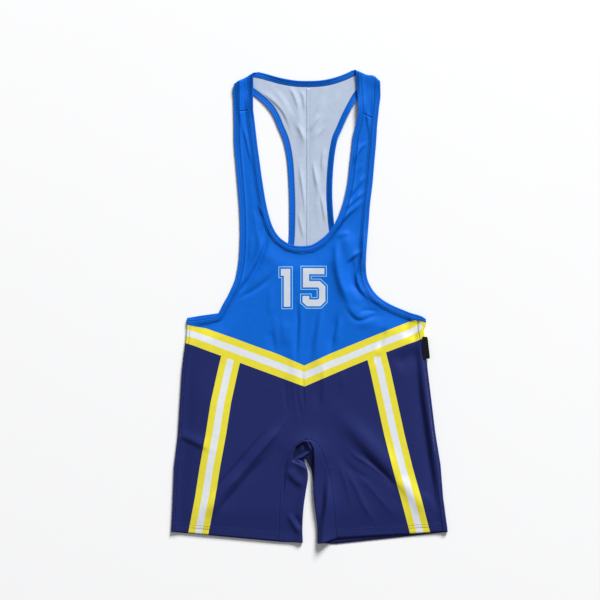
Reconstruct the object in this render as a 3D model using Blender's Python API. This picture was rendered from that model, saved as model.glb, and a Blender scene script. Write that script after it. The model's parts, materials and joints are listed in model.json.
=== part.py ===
"""A wrestling singlet laid flat on its back, front up.

X runs across the garment with the wearer's right at -X, Y runs towards the shoulders, Z is up, and
the origin lies on the floor under the middle of the laid outline. Sizes are in millimetres until the
meshes are made.

The garment is two layers of cloth. The back lies on the floor. Its outer sides roll up and over onto
the front as far as the side seams, and its straps fold over the shoulders and come down the front as
far as the shoulder seams. Each half of the back is therefore drawn in an unfolded plane, where the
cloth simply runs on past its folds, and back_surface() rolls that plane up. The front is a height
field over whatever lies beneath it. A panel is a ruled grid between an inner edge (neck, centre and
crotch) and an outer edge (armhole and side), one table row for each rule.
"""
import math

import bmesh
import bpy
import numpy as np

MM = 0.001
MIDDLE = (0.69, 0.04, 0.0)   # of the laid outline, in the tables' own places

# Cloth and strips
CLOTH = 1.2              # wall of the knitted cloth
BINDING = 1.5            # folded strip round the neck and the armholes
BINDING_WIDTH = 10.0
LABEL = 0.8
SEAM_GAP = 0.3           # between two pieces that are sewn together or lie on each other
LAYER = BINDING + SEAM_GAP   # the front's underside where it lies on the back

# How the upper layer lies on the lower one
LEDGE = 12.0             # the front keeps its height this far past the back's edge
RAMP = 25.0              # and then sinks to the floor within this distance
FOLD_RADIUS = 1.95       # half width of the rolled side and shoulder folds
FOLD_RISE = 2.4          # how much further the layers part at a fold
SIDE_FADE = 10.0         # distance over which that parting dies out
SHOULDER_FADE = 12.0
RIB_TURN = 8.0           # within this distance of a fold a binding's ribs lie along the fold
LEAST_SLANT = 0.5        # least sine of the angle at which such a rib leaves the cloth's edge

# Mesh density
FRONT_COLUMNS = 11
FLAT_COLUMNS = 3         # of a back row, before its outermost stretch
GUSSET_COLUMNS = 6
ROLL_MARKS = np.array([0.0, 0.25, 0.5, 0.75, 1.0]) * math.pi * FOLD_RADIUS
ROLL_TAIL = 1.5

RIGHT, LEFT = -1, 1      # the wearer's sides, as signs of X

# Front panel from the shoulder seam to the foot of the armhole: the cloth's edge on the neck side
# (then the centre line) and on the armhole side.
# neck_x, neck_y, armhole_x, armhole_y
FRONT_UPPER = {
    RIGHT: (
        (-110.0, 351.5, -124.5, 349.0),
        (-107.0, 327.5, -124.0, 326.0),
        (-104.5, 306.0, -124.0, 304.5),
        (-102.0, 284.5, -123.0, 283.0),
        (-99.0, 263.0, -121.0, 261.5),
        (-93.0, 220.0, -117.5, 220.0),
        (-85.5, 177.0, -114.5, 181.0),
        (-75.0, 141.0, -113.0, 141.5),
        (-61.0, 118.5, -113.5, 113.0),
        (-42.0, 104.5, -115.0, 87.5),
        (-26.0, 99.5, -118.0, 66.0),
        (-10.5, 98.5, -122.5, 46.5),
        (-10.0, 70.0, -130.0, 28.5),
        (-9.5, 41.0, -138.5, 11.5),
        (-9.5, 14.5, -149.5, -3.5),
        (-9.0, -10.5, -164.0, -18.0),
        (-9.0, -36.0, -181.0, -26.0),
        (-8.5, -61.0, -197.0, -30.0),
        (-8.0, -84.0, -213.0, -31.5),
    ),
    LEFT: (
        (97.5, 345.0, 113.0, 337.5),
        (94.0, 325.0, 111.5, 321.5),
        (89.0, 306.0, 110.5, 304.5),
        (86.5, 284.5, 109.0, 284.5),
        (84.0, 263.0, 107.0, 263.0),
        (79.0, 220.0, 103.5, 222.0),
        (70.0, 181.0, 99.0, 184.5),
        (58.0, 150.5, 96.5, 150.5),
        (45.0, 129.5, 94.0, 121.5),
        (27.5, 113.0, 92.0, 95.0),
        (8.0, 101.5, 91.5, 70.0),
        (-10.5, 98.5, 94.5, 47.5),
        (-10.0, 70.0, 103.0, 28.5),
        (-9.5, 41.0, 115.5, 13.0),
        (-9.5, 14.5, 130.5, 1.5),
        (-9.0, -10.5, 147.5, -7.5),
        (-9.0, -36.0, 164.0, -14.5),
        (-8.5, -61.0, 179.5, -20.5),
        (-8.0, -84.0, 194.0, -24.5),
    ),
}
NECK_ROW = 11            # the row at the bottom of the front neck
ARMHOLE_ROW = 18         # the row at the foot of the armhole

# Rows across the waist and hips: height at the centre of the front, at the centre seam of the back
# and at the side seams, which both share
# front_y, back_y, side_y
WAIST = (
    (-109.0, -118.0, -54.0),
    (-138.0, -143.0, -86.0),
    (-170.0, -174.0, -122.0),
    (-202.5, -208.0, -161.0),
    (-236.5, -243.5, -193.5),
)
# Rows down the legs, which all pieces share: height at the side seams
LEG_SIDE_Y = (-220.0, -249.0, -277.5, -306.0, -334.5, -360.0, -381.5, -401.5)

# The centre line of the front, and of the back
# y, x
FRONT_CENTRE = ((98.5, -10.5), (-84.0, -8.0), (-236.5, -6.5))
BACK_CENTRE = ((394.0, -1.0), (84.0, -1.0), (-80.0, -2.0), (-243.5, -6.5))

# Outer edge of the laid garment at the sides, and the side seam that lies just inside it on the front
# y, edge_x, seam_x
SIDE = {
    RIGHT: (
        (12.5, -219.5, -213.5),
        (-26.0, -219.5, -213.5),
        (-36.0, -218.5, -213.0),
        (-55.5, -220.0, -214.5),
        (-84.0, -224.0, -218.0),
        (-113.0, -227.5, -221.5),
        (-170.0, -231.0, -225.5),
        (-227.5, -234.5, -229.0),
        (-256.0, -238.0, -232.0),
        (-284.5, -241.5, -235.5),
        (-313.0, -242.5, -236.5),
        (-370.5, -245.0, -239.0),
        (-406.5, -247.0, -240.5),
    ),
    LEFT: (
        (12.5, 210.0, 194.0),
        (-27.0, 210.0, 194.0),
        (-41.0, 207.0, 194.5),
        (-55.5, 207.0, 197.5),
        (-80.5, 209.0, 201.5),
        (-113.0, 212.5, 206.5),
        (-166.5, 219.0, 213.5),
        (-224.0, 226.0, 220.0),
        (-283.0, 235.5, 226.5),
        (-340.0, 240.0, 231.5),
        (-395.5, 247.5, 237.5),
        (-406.5, 248.5, 238.0),
    ),
}

# Shoulder folds: the outer and the inner end of the edge
SHOULDER = {
    RIGHT: ((-136.0, 400.0), (-97.5, 419.5)),
    LEFT: ((127.0, 404.5), (82.0, 424.5)),
}

# Back, the strap's stretch that has come over onto the front, from the shoulder seam to the fold
# neck_x, neck_y, armhole_x, armhole_y
BACK_OVER = {
    RIGHT: (
        (-110.0, 351.5, -124.5, 349.0),
        (-110.0, 374.0, -125.0, 370.5),
        (-109.5, 394.0, -125.5, 387.5),
        (-109.5, 413.5, -125.5, 405.5),
    ),
    LEFT: (
        (97.5, 345.0, 113.0, 337.5),
        (97.0, 368.5, 115.5, 363.5),
        (95.0, 393.0, 116.5, 386.5),
        (93.5, 419.5, 117.0, 409.0),
    ),
}
# Back, lying on the floor, from the shoulder to the underarm
# neck_x (then the centre seam), neck_y, armhole_x, armhole_y
BACK_UPPER = {
    RIGHT: (
        (-98.5, 411.5, -112.0, 399.0),
        (-86.0, 409.0, -100.0, 392.0),
        (-73.5, 405.5, -88.0, 383.0),
        (-56.0, 400.5, -75.0, 372.0),
        (-39.0, 397.0, -63.5, 359.5),
        (-20.5, 394.5, -54.0, 344.0),
        (-1.0, 394.0, -46.5, 326.0),
        (-1.0, 363.5, -37.5, 304.5),
        (-1.0, 327.5, -32.0, 283.0),
        (-1.0, 288.0, -28.5, 259.5),
        (-1.0, 245.0, -26.5, 231.0),
        (-1.0, 200.5, -25.0, 191.5),
        (-1.0, 155.5, -25.0, 152.0),
        (-1.0, 116.5, -26.5, 116.5),
        (-1.0, 84.0, -31.5, 86.0),
        (-1.0, 55.5, -41.0, 57.5),
        (-1.5, 28.5, -59.0, 30.5),
        (-1.5, 5.5, -84.0, 8.0),
        (-1.5, -16.0, -113.0, -8.0),
        (-2.0, -37.5, -141.5, -18.0),
        (-2.0, -59.0, -170.0, -22.5),
        (-2.0, -80.5, -195.0, -26.0),
    ),
    LEFT: (
        (82.5, 414.5, 103.0, 402.0),
        (70.0, 408.5, 90.5, 393.5),
        (57.5, 403.5, 80.0, 382.5),
        (43.0, 399.0, 71.5, 368.0),
        (28.5, 396.0, 64.0, 354.0),
        (14.5, 394.5, 56.5, 338.5),
        (-1.0, 394.0, 49.5, 322.0),
        (-1.0, 363.5, 42.0, 305.0),
        (-1.0, 327.5, 37.5, 284.5),
        (-1.0, 288.0, 34.5, 263.0),
        (-1.0, 245.0, 32.0, 231.0),
        (-1.0, 200.5, 31.5, 195.0),
        (-1.0, 155.5, 34.0, 155.5),
        (-1.0, 116.5, 38.5, 118.0),
        (-1.0, 84.0, 43.0, 87.5),
        (-1.0, 55.5, 50.0, 59.0),
        (-1.5, 28.5, 62.5, 32.0),
        (-1.5, 5.5, 79.5, 10.5),
        (-1.5, -16.0, 101.0, -7.0),
        (-2.0, -37.5, 125.5, -20.5),
        (-2.0, -59.0, 150.5, -28.5),
        (-2.0, -80.5, 175.5, -30.5),
    ),
}
BACK_NECK_ROW = 10       # the row at the bottom of the back neck, where the centre seam starts
BACK_ARMHOLE_ROW = 26    # the row at the foot of the armhole
COARSE_ROW = 17          # from here to the armhole's foot the back is flat and hidden

BACK_FOOT_Y = -99.0      # of the centre seam, at that row

# Inner-leg gusset from the right hem over the crotch to the left hem: the seam on the front, the
# fold at the inner leg, the seam on the back
# seam_x, seam_y, fold_x, fold_y, back_x, back_y
GUSSET = (
    (-55.0, -419.0, -11.5, -421.5, -48.5, -420.5),
    (-53.0, -385.0, -11.5, -389.5, -46.5, -386.5),
    (-52.0, -345.5, -9.5, -358.0, -45.0, -349.0),
    (-49.0, -320.5, -5.5, -329.5, -41.0, -322.0),
    (-46.0, -297.0, -2.0, -308.0, -37.5, -299.0),
    (-42.0, -281.0, -2.5, -292.5, -34.0, -279.0),
    (-33.0, -259.5, -5.8, -283.0, -28.5, -265.0),
    (-23.5, -245.5, -8.6, -275.0, -20.5, -251.5),
    (-6.5, -236.5, -7.0, -270.5, -6.5, -243.5),
    (8.0, -238.5, -4.2, -274.5, 7.0, -249.0),
    (19.5, -251.0, 0.2, -283.0, 15.0, -258.0),
    (26.0, -266.0, 4.5, -292.5, 21.5, -272.0),
    (33.0, -286.5, 7.0, -311.5, 27.0, -292.0),
    (39.5, -311.0, 8.0, -336.5, 33.0, -317.0),
    (43.5, -339.5, 10.5, -360.0, 37.5, -343.5),
    (46.0, -374.0, 14.0, -387.0, 40.5, -379.5),
    (49.5, -413.5, 15.5, -423.0, 45.0, -424.0),
)
APEX = 8                 # the gusset's row at the crotch
LEG_ROWS = 8

# The hollow at the crotch, where the gusset sinks back between its front flaps
# x, y
HOLLOW = (
    (-10.5, -240.5), (-23.5, -249.5), (-29.0, -265.0), (-29.5, -274.0), (-16.0, -280.0),
    (0.0, -289.0), (8.0, -313.0), (9.0, -283.0), (7.5, -252.5), (2.0, -242.5),
)
HOLLOW_EDGE = 7.0        # width of the step down into it
HOLLOW_FLOOR = 3.4       # underside of the gusset's front half inside it
CROTCH_AT = (-4.0, -262.0)
CROTCH_SPREAD = 30.0
CROTCH_RISE = 4.5

# Largest folds of the front, as soft ridges
# x0, y0, x1, y1, bow to the left of the way, half width, height
FRONT_FOLDS = (
    (-84.0, 180.0, -84.0, 62.5, 14.5, 12.0, 2.2),
    (-84.0, 62.5, -140.0, 10.0, -3.5, 12.0, 2.2),
    (61.0, 130.5, 79.0, 80.5, 2.0, 12.5, 3.2),
    (50.0, 102.0, 68.0, 2.0, -3.5, 12.0, 2.4),
    (68.0, 2.0, 116.5, -34.0, -3.5, 12.0, 2.2),
    (77.0, 30.5, 141.5, -9.0, 3.5, 12.5, 1.8),
    (57.5, 152.0, 100.0, 197.0, 2.0, 9.0, 1.8),
    (-234.5, -234.5, -180.0, -258.0, -2.5, 11.0, 2.8),
    (-50.0, -209.5, -120.0, -284.5, -5.5, 14.5, 3.2),
    (-120.0, -284.5, -188.0, -377.5, -5.5, 14.5, 4.2),
    (37.5, -175.5, 154.0, -306.0, 5.5, 16.0, 4.0),
    (154.0, -306.0, 211.0, -367.0, 3.5, 13.5, 3.4),
    (68.0, -279.0, 172.0, -386.5, 0.0, 11.0, 1.8),
    (45.0, -263.0, 109.0, -377.5, -3.5, 11.0, 1.8),
    (181.0, -68.0, 202.5, -299.0, -2.0, 13.0, 2.2),
    (-25.0, -41.0, -18.0, -200.0, -2.0, 11.0, 1.6),
    (16.0, -5.5, 23.5, -160.0, -3.5, 11.0, 1.6),
)
# Soft folds inside the back, seen through the neck
BACK_FOLDS = (
    (-30.0, 384.0, -10.5, 277.5, 3.5, 7.0, 1.4),
    (30.0, 384.0, 7.0, 281.0, -3.5, 7.0, 1.4),
    (-66.0, 392.0, -22.0, 322.0, 4.0, 6.0, 1.2),
    (60.0, 392.0, 26.0, 312.0, -3.0, 6.0, 1.2),
    (-12.5, 263.0, -14.5, 150.0, 0.0, 7.0, 1.0),
    (14.5, 254.0, 18.0, 150.0, -2.0, 7.0, 1.0),
)

# Side label: it starts at the left side seam and stands out past the fold
LABEL_TOP, LABEL_FOOT = -53.0, -92.5
LABEL_TIP_X = 216.0
LABEL_ROOT_X = 202.5
LABEL_SEAM = 1.5         # least distance from the seam
LABEL_CORNER = 3.0
LABEL_DROOP = 0.012      # fall of its free end, per square millimetre past the fold

# material name, base colour, roughness
FRONT_CLOTH = ("front_cloth", (0.012, 0.13, 0.62), 0.55)
BACK_CLOTH = ("back_cloth", (0.50, 0.57, 0.74), 0.65)
GUSSET_CLOTH = ("gusset_cloth", (0.018, 0.024, 0.11), 0.6)
BINDING_CLOTH = ("binding_cloth", (0.008, 0.10, 0.52), 0.5)
LABEL_CLOTH = ("label_cloth", (0.006, 0.006, 0.008), 0.5)


# ---------------------------------------------------------------- curves and small maths

def column(table, index):
    return np.array([row[index] for row in table], float)


def lookup(table, y, index):
    """Column `index` of a table that runs down the garment, at height y."""
    ys = column(table, 0)
    return np.interp(-np.asarray(y, float), -ys, column(table, index))


def spline(points, u, corners=()):
    """Smooth curve through the rows of `points`; it may turn sharply at the rows in `corners`."""
    points = np.asarray(points, float)
    last = len(points) - 1
    u = np.clip(np.asarray(u, float), 0.0, last)
    start = np.minimum(u.astype(int), last - 1)
    t = (u - start)[:, None]
    p1, p2 = points[start], points[start + 1]
    before, after = points[np.maximum(start - 1, 0)], points[np.minimum(start + 2, last)]
    bend_in = np.array([i == 0 or i in corners for i in start])[:, None]
    bend_out = np.array([i + 1 == last or i + 1 in corners for i in start])[:, None]
    p0 = np.where(bend_in, 2 * p1 - p2, before)
    p3 = np.where(bend_out, 2 * p2 - p1, after)
    return 0.5 * (2 * p1 + (p2 - p0) * t + (2 * p0 - 5 * p1 + 4 * p2 - p3) * t ** 2
                  + (3 * p1 - p0 - 3 * p2 + p3) * t ** 3)


def smooth_step(t):
    t = np.clip(t, 0.0, 1.0)
    return t * t * (3.0 - 2.0 * t)


def unit(vectors):
    return vectors / np.maximum(np.linalg.norm(vectors, axis=-1, keepdims=True), 1e-12)


def signed_distance(points, line):
    """Distance to an open line, positive on the left of its way."""
    start, step = line[:-1], np.diff(line, axis=0)
    rel = points[:, None, :] - start[None]
    along = np.clip((rel * step).sum(-1) / (step ** 2).sum(-1), 0.0, 1.0)
    away = rel - along[..., None] * step
    distance = np.linalg.norm(away, axis=-1)
    nearest = distance.argmin(axis=1)
    rows = np.arange(len(points))
    side = np.cross(step[nearest], rel[rows, nearest])
    return np.where(side >= 0, 1.0, -1.0) * distance[rows, nearest]


def ridges(points, table):
    """Summed height of soft ridges: round across, fading out at both ends."""
    height = np.zeros(len(points))
    for x0, y0, x1, y1, bow, half_width, top in table:
        start, way = np.array((x0, y0)), np.array((x1 - x0, y1 - y0))
        length = math.hypot(*way)
        along = (points - start) @ way / length ** 2
        across = (points - start) @ np.array((-way[1], way[0])) / length
        inside = np.clip(along, 0.0, 1.0)
        across = across - bow * 4.0 * inside * (1.0 - inside)
        past = (along - inside) * length / half_width
        fade = smooth_step(np.minimum(inside, 1.0 - inside) / 0.3) * 0.75 + 0.25
        height += top * fade * np.exp(-(across / half_width) ** 2 - past ** 2)
    return height


# ---------------------------------------------------------------- how the layers lie

def shoulder_frame(side):
    """A point on the shoulder's edge, the way along the edge, and the way out past it."""
    outer, inner = (np.array(p) for p in SHOULDER[side])
    along = unit(inner - outer)
    out = np.array((-along[1], along[0]))
    return outer, along, out if out[1] > 0 else -out


def side_tangent(side, y):
    """Where the back leaves the floor to roll over at the side, as a distance from X = 0."""
    return side * lookup(SIDE[side], y, 1) - FOLD_RADIUS - CLOTH / 2


def edge_outward(curve, sign):
    """Unit ways out of a panel's edge, across the edge."""
    way = unit(np.gradient(curve, axis=0))
    return sign * np.stack((-way[:, 1], way[:, 0]), axis=1)


def back_edge_line(side):
    """Outer edge of the back's armhole binding, in the unfolded plane."""
    u = np.linspace(1.5, BACK_ARMHOLE_ROW, 4 * BACK_ARMHOLE_ROW)
    edge = back_edges(side, u)[1]
    return edge + edge_outward(edge, side) * (BINDING_WIDTH + SEAM_GAP)


def over_back(points):
    """Underside of the upper layer where it lies on the back or sinks to the floor beside it."""
    return LAYER * np.minimum(*(
        smooth_step(1.0 + (LEDGE - side * signed_distance(points, ARMHOLE_LINE[side])) / RAMP)
        for side in (RIGHT, LEFT)))


def fold_parting(points):
    """Extra height next to the side folds and the shoulder folds."""
    height = np.zeros(len(points))
    for side in (RIGHT, LEFT):
        inside = np.maximum(side_tangent(side, points[:, 1]) - side * points[:, 0], 0.0)
        height += FOLD_RISE * np.exp(-(inside / SIDE_FADE) ** 2)
        start, along, out = shoulder_frame(side)
        below = np.maximum(-(points - start) @ out - FOLD_RADIUS - CLOTH / 2, 0.0)
        beside = np.abs((points - start) @ along - 22.0) / 30.0
        height += FOLD_RISE * np.exp(-(below / SHOULDER_FADE) ** 2) * (1.0 - smooth_step(beside - 1.0))
    return height


def crotch_lift(points):
    away = np.linalg.norm(points - np.array(CROTCH_AT), axis=1)
    return CROTCH_RISE * np.exp(-(away / CROTCH_SPREAD) ** 2)


def underside(points):
    """Underside of the upper layer."""
    return (over_back(points) + fold_parting(points) + crotch_lift(points)
            + ridges(points, BACK_FOLDS) + ridges(points, FRONT_FOLDS) * edge_calm(points))


def edge_calm(points):
    """0 at the side folds, 1 well inside them: the folds of the front die out there."""
    calm = np.ones(len(points))
    for side in (RIGHT, LEFT):
        inside = side_tangent(side, points[:, 1]) - side * points[:, 0]
        calm *= smooth_step(inside / 12.0)
    return calm


def front_surface(points, half):
    return np.column_stack((points, half + underside(points)))


def back_surface(side):
    """Surface of one half of the back, from its unfolded plane."""
    def roll(points, half):
        place, height = points.copy(), half + ridges(points, BACK_FOLDS)
        start, _, out = shoulder_frame(side)
        tangent = -FOLD_RADIUS - CLOTH / 2
        past = (points - start) @ out - tangent
        at_shoulder = points[:, 1] > 200.0
        place, height = roll_over(place, height, half, past, at_shoulder, out[None])
        past = side * points[:, 0] - side_tangent(side, points[:, 1])
        return np.column_stack(roll_over(place, height, half, past, points[:, 1] < 100.0,
                                         np.array(((side, 0.0),))))
    return roll


def roll_over(place, height, half, past, applies, out):
    """Rolls what lies `past` a tangent line up and back over the layer below."""
    turn = math.pi * FOLD_RADIUS
    angle = np.clip(past / FOLD_RADIUS, 0.0, math.pi)
    rolled = np.where(past <= turn, FOLD_RADIUS * np.sin(angle), turn - past)
    shift = np.where(applies & (past > 0.0), rolled - past, 0.0)
    moved = place + shift[:, None] * out
    at_top = place + np.where(past > 0.0, -past, 0.0)[:, None] * out
    top = half + underside(np.where((past > turn)[:, None], moved, at_top))
    risen = height + (top - height) * (1.0 - np.cos(angle)) / 2.0
    return moved, np.where(applies & (past > 0.0), risen, height)


def unfold_side(side, x, y):
    """Unfolded X of a place on the front that belongs to the back's cloth, at a side fold."""
    tangent = side_tangent(side, y)
    return side * (tangent + math.pi * FOLD_RADIUS + tangent - side * np.asarray(x, float))


def unfold_shoulder(side, points):
    """Unfolded place of points on the front that belong to the back's strap."""
    start, _, out = shoulder_frame(side)
    tangent = -FOLD_RADIUS - CLOTH / 2
    below = tangent - (points - start) @ out
    past = math.pi * FOLD_RADIUS + below
    return points + (past + below)[:, None] * out


# ---------------------------------------------------------------- edges of the panels

def front_edges(side, u):
    """Neck-and-centre edge and armhole-and-side edge of half the front, at the rows u."""
    upper = np.array(FRONT_UPPER[side])
    waist = np.array(WAIST)
    last_waist = ARMHOLE_ROW + len(waist)
    inner_y = np.concatenate((upper[:, 1], waist[:, 0]))
    inner_x = np.concatenate((upper[:, 0], lookup(FRONT_CENTRE, waist[:, 0], 1)))
    inner_x[NECK_ROW:] = lookup(FRONT_CENTRE, inner_y[NECK_ROW:], 1)
    inner = spline(np.column_stack((inner_x, inner_y)), u, corners=(NECK_ROW,))
    on_centre = (u > NECK_ROW) & (u <= last_waist)
    inner[on_centre, 0] = lookup(FRONT_CENTRE, inner[on_centre, 1], 1)
    in_leg = u > last_waist
    inner[in_leg] = spline(np.array(GUSSET)[:, 0:2], APEX + side * (u[in_leg] - last_waist))
    outer_y = np.concatenate((upper[:, 3], waist[:, 2], LEG_SIDE_Y))
    outer_x = np.concatenate((upper[:, 2], lookup(SIDE[side], outer_y[len(upper):], 2)))
    outer = spline(np.column_stack((outer_x, outer_y)), u, corners=(ARMHOLE_ROW,))
    on_seam = u >= ARMHOLE_ROW
    outer[on_seam, 0] = lookup(SIDE[side], outer[on_seam, 1], 2)
    return inner, outer


def back_edges(side, u):
    """The same two edges of half the back, in its unfolded plane."""
    over, upper = np.array(BACK_OVER[side]), np.array(BACK_UPPER[side])
    waist = np.array(WAIST)
    inner = np.concatenate((unfold_shoulder(side, over[:, 0:2]), upper[:, 0:2],
                            ((0.0, BACK_FOOT_Y),), np.column_stack((waist[:, 1] * 0, waist[:, 1]))))
    foot_x, foot_y = FRONT_UPPER[side][ARMHOLE_ROW][2:4]
    outer_y = np.concatenate(((foot_y,), waist[:, 2], LEG_SIDE_Y))
    outer_x = unfold_side(side, lookup(SIDE[side], outer_y, 2), outer_y)
    outer = np.concatenate((unfold_shoulder(side, over[:, 2:4]), upper[:, 2:4],
                            np.column_stack((outer_x, outer_y))))
    last_waist = BACK_ARMHOLE_ROW + len(waist)
    on_centre = u > BACK_NECK_ROW
    inner_points = spline(inner, u, corners=(BACK_NECK_ROW,))
    inner_points[on_centre, 0] = lookup(BACK_CENTRE, inner_points[on_centre, 1], 1)
    in_leg = u > last_waist
    inner_points[in_leg] = spline(np.array(GUSSET)[:, 4:6], APEX + side * (u[in_leg] - last_waist))
    outer_points = spline(outer, u, corners=(BACK_ARMHOLE_ROW,))
    on_seam = u >= BACK_ARMHOLE_ROW
    seam_y = outer_points[on_seam, 1]
    outer_points[on_seam, 0] = unfold_side(side, lookup(SIDE[side], seam_y, 2), seam_y)
    return inner_points, outer_points


def front_rows():
    return np.arange(0.0, ARMHOLE_ROW + len(WAIST) + LEG_ROWS + 0.25, 0.5)


def back_rows(side):
    """Row numbers of the back, closer together where it rolls over a fold."""
    last = BACK_ARMHOLE_ROW + len(WAIST) + LEG_ROWS
    rows = np.concatenate((np.arange(0.0, COARSE_ROW, 0.5),
                           np.arange(COARSE_ROW, BACK_ARMHOLE_ROW, 1.0),
                           np.arange(BACK_ARMHOLE_ROW, last + 0.25, 0.5)))
    marks = np.concatenate(((-ROLL_TAIL,), ROLL_MARKS, (ROLL_MARKS[-1] + ROLL_TAIL,)))
    start, _, out = shoulder_frame(side)
    fine = np.linspace(1.0, 5.0, 400)
    inner, outer = back_edges(side, fine)
    past = ((inner + outer) / 2 - start) @ out + FOLD_RADIUS + CLOTH / 2
    rows = with_marks(rows, np.interp(marks, past[::-1], fine[::-1]))
    fine = np.linspace(BACK_ARMHOLE_ROW - 2.0, BACK_ARMHOLE_ROW, 400)
    outer = back_edges(side, fine)[1]
    past = side * outer[:, 0] - side_tangent(side, outer[:, 1])
    return with_marks(rows, np.interp(marks, past, fine))


def with_marks(rows, marks):
    """Adds the marks to the rows and drops the rows that they surround or crowd."""
    crowd = 0.12
    kept = rows[(rows < marks.min() - crowd) | (rows > marks.max() + crowd)
                | (rows == BACK_ARMHOLE_ROW)]
    return np.unique(np.concatenate((kept, np.setdiff1d(marks, kept))))


# ---------------------------------------------------------------- grids, walls and strips

def normals(surface, points, half):
    """Unit normals, towards the inside of the garment on the back."""
    step = 0.25
    dx, dy = np.array((step, 0.0)), np.array((0.0, step))
    across = surface(points + dx, half) - surface(points - dx, half)
    along = surface(points + dy, half) - surface(points - dy, half)
    return unit(np.cross(across, along))


def ruled_grid(inner, outer, shares):
    """Places between two edges; shares holds one row of fractions for each rule."""
    return inner[:, None] + (outer - inner)[:, None] * shares[..., None]


def lay(surface, grid, half):
    """Mid-surface places and normals of a flat grid of places."""
    flat = grid.reshape(-1, 2)
    shape = grid.shape[:2] + (3,)
    return surface(flat, half).reshape(shape), normals(surface, flat, half).reshape(shape)


def quads(ids):
    return np.stack((ids[:-1, :-1], ids[1:, :-1], ids[1:, 1:], ids[:-1, 1:]), axis=-1).reshape(-1, 4)


def wall(name, places, ways, faces, half, material):
    """Closed wall of even thickness about a mid-surface."""
    count = len(places)
    rim = {}
    for face in faces.tolist():
        for a, b in zip(face, face[1:] + face[:1]):
            rim[(a, b)] = True
    edges = [(a, b) for a, b in rim if (b, a) not in rim]
    points = np.concatenate((places + ways * half, places - ways * half))
    shells = [list(f) for f in faces.tolist()] + [[i + count for i in f[::-1]] for f in faces.tolist()]
    shells += [[b, a, a + count, b + count] for a, b in edges]
    return solid(name, points, shells, material)


def strip(name, ribs, half, material):
    """Closed loop of a flat strip; each rib is (surface, start, end, side of the cloth)."""
    section = ((0.0, 0.0), (0.1, 1.0), (0.9, 1.0), (1.0, 0.0), (0.9, -1.0), (0.1, -1.0))
    rings = []
    for surface, start, end, face in ribs:
        across = np.array([start + (end - start) * share for share, _ in section])
        places = surface(across, half)
        ways = normals(surface, across, half) * face
        heights = np.array([height for _, height in section])
        rings.append(places + ways * heights[:, None] * half)
    ids = np.arange(len(rings) * len(section)).reshape(len(rings), len(section))
    ids = np.pad(ids, ((0, 1), (0, 1)), mode="wrap")
    return solid(name, np.concatenate(rings), quads(ids).tolist(), material)


def solid(name, points, faces, material):
    mesh = bpy.data.meshes.new(name)
    mesh.from_pydata(((points - MIDDLE) * MM).tolist(), [], faces)
    shape = bmesh.new()
    shape.from_mesh(mesh)
    loose = [v for v in shape.verts if not v.link_faces]
    bmesh.ops.delete(shape, geom=loose, context="VERTS")
    bmesh.ops.triangulate(shape, faces=shape.faces)
    bmesh.ops.recalc_face_normals(shape, faces=shape.faces)
    shape.to_mesh(mesh)
    shape.free()
    mesh.shade_smooth()
    mesh.set_sharp_from_angle(angle=math.radians(50))
    mesh.materials.append(cloth_material(*material))
    item = bpy.data.objects.new(name, mesh)
    bpy.context.collection.objects.link(item)
    return item


def cloth_material(name, colour, roughness):
    material = bpy.data.materials.get(name) or bpy.data.materials.new(name)
    material.use_nodes = True
    shader = material.node_tree.nodes["Principled BSDF"]
    shader.inputs["Base Color"].default_value = (*colour, 1.0)
    shader.inputs["Roughness"].default_value = roughness
    return material


# ---------------------------------------------------------------- the pieces

def make_front():
    rows = front_rows()
    shares = np.tile(np.linspace(0.0, 1.0, FRONT_COLUMNS + 1), (len(rows), 1))
    places, ways, ids = [], [], []
    for side in (RIGHT, LEFT):
        grid = ruled_grid(*front_edges(side, rows), shares)
        spots, out = lay(front_surface, grid, CLOTH / 2)
        ids.append(np.arange(spots[..., 0].size).reshape(spots.shape[:2]) + sum(map(len, places)))
        places.append(spots.reshape(-1, 3))
        ways.append(out.reshape(-1, 3))
    shared = (rows >= NECK_ROW) & (rows <= ARMHOLE_ROW + len(WAIST))
    ids[1][shared, 0] = ids[0][shared, 0]
    faces = np.concatenate((quads(ids[0]), quads(ids[1])[:, ::-1]))
    wall("front_panel", np.concatenate(places), np.concatenate(ways), faces, CLOTH / 2, FRONT_CLOTH)


def make_back(side, name):
    rows = back_rows(side)
    inner, outer = back_edges(side, rows)
    inner[:, 0] += np.where(rows > BACK_NECK_ROW - 0.01, side * SEAM_GAP / 2, 0.0)
    outer = outer - unit(outer - inner) * (rows >= BACK_ARMHOLE_ROW)[:, None] * SEAM_GAP
    at_seam = rows < 0.01
    start, _, out = shoulder_frame(side)
    inner[at_seam] -= out * SEAM_GAP
    outer[at_seam] -= out * SEAM_GAP
    first = side * inner[:, 0] - side_tangent(side, outer[:, 1])
    last = side * outer[:, 0] - side_tangent(side, outer[:, 1])
    shift = np.minimum(0.0, last - ROLL_MARKS[-1] - ROLL_TAIL)
    marks = (ROLL_MARKS[None] + shift[:, None] - first[:, None]) / (last - first)[:, None]
    flat = np.linspace(0.0, 1.0, FLAT_COLUMNS + 1)[None, :-1] * marks[:, :1]
    shares = np.concatenate((flat, marks, np.ones((len(rows), 1))), axis=1)
    places, ways = lay(back_surface(side), ruled_grid(inner, outer, shares), CLOTH / 2)
    ids = np.arange(places[..., 0].size).reshape(places.shape[:2])
    wall(name, places.reshape(-1, 3), ways.reshape(-1, 3), quads(ids), CLOTH / 2, BACK_CLOTH)


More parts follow.
